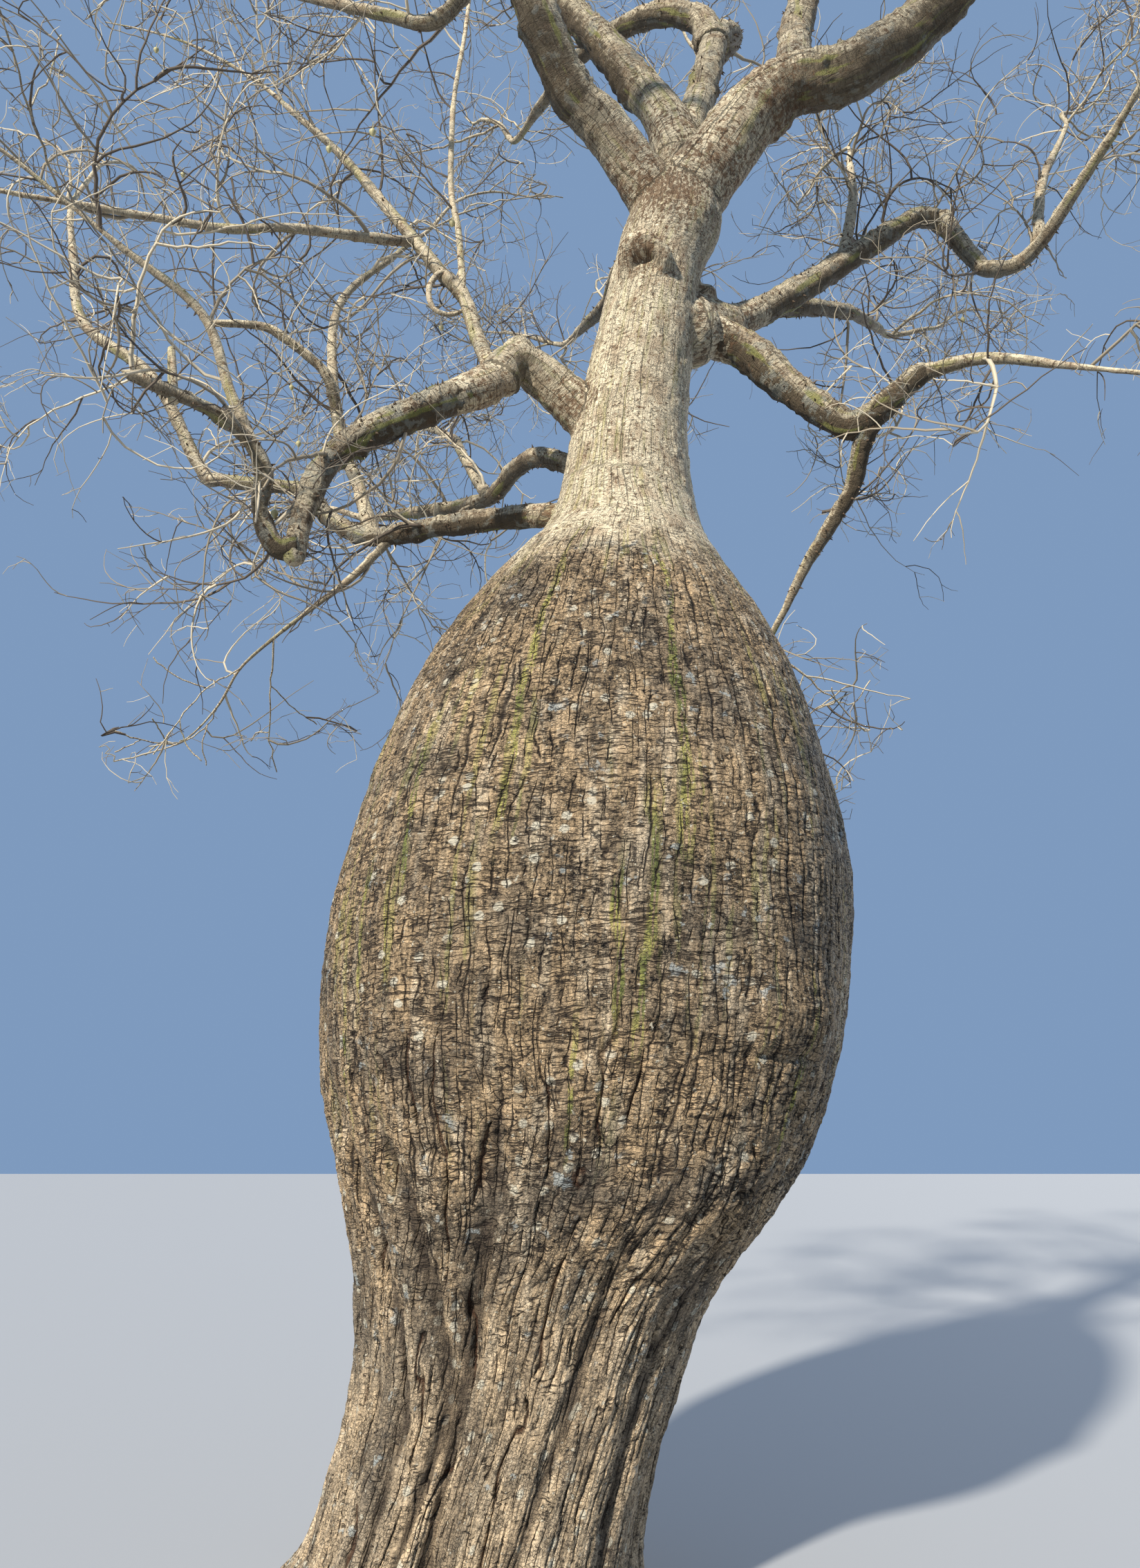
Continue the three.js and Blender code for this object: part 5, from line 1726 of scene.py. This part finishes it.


# each twig is a row of edges; the tree of nodes gives it its girth and one of the plain tints, which are
# partly painted light and shade
def sprayTree(materials):
    tree, desk, given = newShape("spray", {"Sides": "NodeSocketInt"})
    curves = desk.node("GeometryNodeMeshToCurve", {}, {"Mesh": given["Geometry"]})
    ring = desk.node("GeometryNodeCurvePrimitiveCircle", {}, {"Resolution": given["Sides"], "Radius": 1.0})
    tubes = desk.node("GeometryNodeCurveToMesh", {}, {
        "Curve": curves.outputs[0], "Profile Curve": ring.outputs[0], "Scale": readMark(desk, "girth"),
        "Fill Caps": True})
    whole = desk.node("GeometryNodeRealizeInstances", {}, {0: tubes.outputs[0]})
    dressed = whole.outputs[0]
    shade = readMark(desk, "shade")
    for number, material in enumerate(materials):
        dressed = desk.node("GeometryNodeSetMaterial", {}, {
            "Geometry": dressed, "Selection": desk.maths("COMPARE", shade, float(number), 0.4),
            "Material": material}).outputs[0]
    desk.node("NodeGroupOutput", {}, {0: dressed})
    return tree


sprayShape = sprayTree([
    plainFinish("twigBark" + str(number + 1), tint) for number, tint in enumerate(spray["shades"])])


# the twigs of some masses as one piece
def makeSprays(name, chosenHomes):
    verts, edges, girths, shades = [], [], [], []
    count = 0
    for row in sprays:
        inside = np.isin(row["homes"], chosenHomes)
        points = row["points"][inside]
        number, knots = points.shape[:2]
        first = count + np.arange(number)[:, None] * knots + np.arange(knots - 1)
        edges.append(np.stack([first, first + 1], axis=-1).reshape(-1, 2))
        verts.append(points.reshape(-1, 3))
        girths.append(row["girths"][inside].reshape(-1))
        # each twig gets one tint at random, which stands for its own colour and for painted light and shade
        deal = sprayRng.choice(len(spray["shades"]), size=number, p=spray["shares"])
        shades.append(np.repeat(deal, knots))
        count += number * knots
    mesh = bpy.data.meshes.new(name)
    verts, edges = np.concatenate(verts), np.concatenate(edges)
    mesh.vertices.add(len(verts))
    mesh.vertices.foreach_set("co", verts.astype(np.float32).ravel())
    mesh.edges.add(len(edges))
    mesh.edges.foreach_set("vertices", edges.astype(np.int32).ravel())
    markMesh(mesh, {"girth": np.concatenate(girths), "shade": np.concatenate(shades).astype(float)})
    piece = pieceOf(name, mesh)
    shapeBy(piece, sprayShape, {"Sides": 3})
    piece.data.shade_smooth()
    return piece


sprayPieces = {}
firstHome = 0
for name, number in spray["groups"].items():
    chosenHomes = list(range(firstHome, firstHome + number))
    firstHome += number
    piece = makeSprays(name, chosenHomes)
    sprayPieces[piece] = [spaces[home]["name"] for home in chosenHomes]
    print(name, len(piece.data.polygons))


# pods: a few ribbed ones, hanging on short stalks from the ends of twigs

pod = {"number": 18, "seed": 11, "length": 0.050, "girth": 0.017, "ribs": 5, "groove": 0.07, "stalk": 0.035,
       "tint": (0.42, 0.38, 0.19), "heights": [4.2, 9.2], "sizes": [0.8, 1.15]}


def podMesh():
    sides, rows = 15, 9
    turn = turnsOf(sides)
    ribbed = 1 + pod["groove"] * np.cos(pod["ribs"] * turn)
    rings = [(0.0, 0.0016), (pod["stalk"] * 0.5, 0.0015), (pod["stalk"], 0.0022)]
    for share in np.linspace(0.06, 0.99, rows):
        bulge = math.sin(math.pi * share ** 0.85)
        rings.append((pod["stalk"] + pod["length"] * share, pod["girth"] * bulge))
    verts = []
    for depth, radius in rings:
        rim = radius * (ribbed if radius > 0.004 else np.ones(sides))
        verts.append(np.stack([rim * np.cos(turn), rim * np.sin(turn), np.full(sides, -depth)], axis=-1))
    verts.append([[0, 0, 0.002], [0, 0, -pod["stalk"] - pod["length"]]])
    quads, tris = facesOf(len(rings), sides)
    return np.concatenate(verts), quads[:, [1, 0, 3, 2]], tris[:, [1, 0, 2]]  # the rings go down


def makePods():
    rng = np.random.default_rng(pod["seed"])
    tips = second["points"][:, -1]
    low, high = pod["heights"]
    fit = np.flatnonzero((tips[:, 2] > low) & (tips[:, 2] < high))
    chosen = tips[rng.choice(fit, pod["number"], replace=False)]
    verts, quads, tris = podMesh()
    sizes = rng.uniform(*pod["sizes"], pod["number"])
    pods = [{"verts": verts * size + tip, "quads": quads, "tris": tris} for size, tip in zip(sizes, chosen)]
    piece = pieceOf("pods", joined("pods", pods, []))
    material, desk = newFinish("podSkin")
    place = Term(desk, desk.node("ShaderNodeTexCoord").outputs["Object"], True)
    tint = desk.shaded(pod["tint"], 0.75 + desk.noise(place, 0.010, 3.0) * 0.5)
    coat(desk, {"Base Color": tint, "Roughness": 0.55})
    piece.data.materials.append(material)
    return piece


podPiece = makePods()
print("pods:", len(podPiece.data.polygons))


# floor, light and camera

studio = {
    "floorSize": 60, "floor": (0.36, 0.37, 0.38, 1), "air": (0.35, 0.54, 0.86, 1), "airStrength": 0.60,
    # each lamp: strength, tint, where it shines from, width of its disc in degrees
    "lamps": {"sun": [6.0, (1.0, 0.93, 0.82), (-0.46, -0.70, 0.51), 3.0],
              "fill": [1.6, (0.95, 0.97, 1.0), (0.50, 0.78, 0.38), 40.0]},
}
# the place of the eye in metres, the tilt in degrees with 90 level, and the lens in millimetres
photo = {"eye": (0.42, -4.9, 1.75), "tilt": 106, "sensor": 36, "lens": 26.19, "sight": 200}


def makeStudio():
    half = studio["floorSize"] / 2
    corners = np.array([[-half, -half, 0], [half, -half, 0], [half, half, 0], [-half, half, 0]])
    floor = pieceOf("floor", meshOf("floor", corners, np.array([[0, 1, 2, 3]]), np.zeros((0, 3), int), {}))
    material, desk = newFinish("paleFloor")
    coat(desk, {"Base Color": studio["floor"], "Roughness": 0.9})
    floor.data.materials.append(material)

    world = bpy.data.worlds.new("air")
    scene.world = world
    world.use_nodes = True
    background = world.node_tree.nodes["Background"].inputs
    background["Color"].default_value = studio["air"]
    background["Strength"].default_value = studio["airStrength"]

    for name, (strength, tint, shinesFrom, width) in studio["lamps"].items():
        lamp = bpy.data.lights.new(name, "SUN")
        lamp.energy = strength
        lamp.color = tint
        lamp.angle = math.radians(width)
        holder = bpy.data.objects.new(name, lamp)
        holder.rotation_euler = Vector(shinesFrom).to_track_quat("Z", "Y").to_euler()
        scene.collection.objects.link(holder)
    scene.view_settings.view_transform = "Standard"


def makeCamera():
    lens = bpy.data.cameras.new("camera")
    lens.sensor_width = photo["sensor"]
    lens.lens = photo["lens"]
    lens.clip_end = photo["sight"]
    camera = bpy.data.objects.new("camera", lens)
    camera.location = photo["eye"]
    camera.rotation_euler = (math.radians(photo["tilt"]), 0, 0)
    scene.collection.objects.link(camera)
    scene.camera = camera


makeStudio()
makeCamera()

for piece in trunkPieces:
    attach(piece, "root")
    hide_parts("trunk")
for piece, names in limbPieces.items():
    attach(piece, "root")
    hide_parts(*names)
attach(podPiece, "root")
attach(pricklePiece, "root")
for piece, names in sprayPieces.items():
    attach(piece, "root")
    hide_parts(*names)
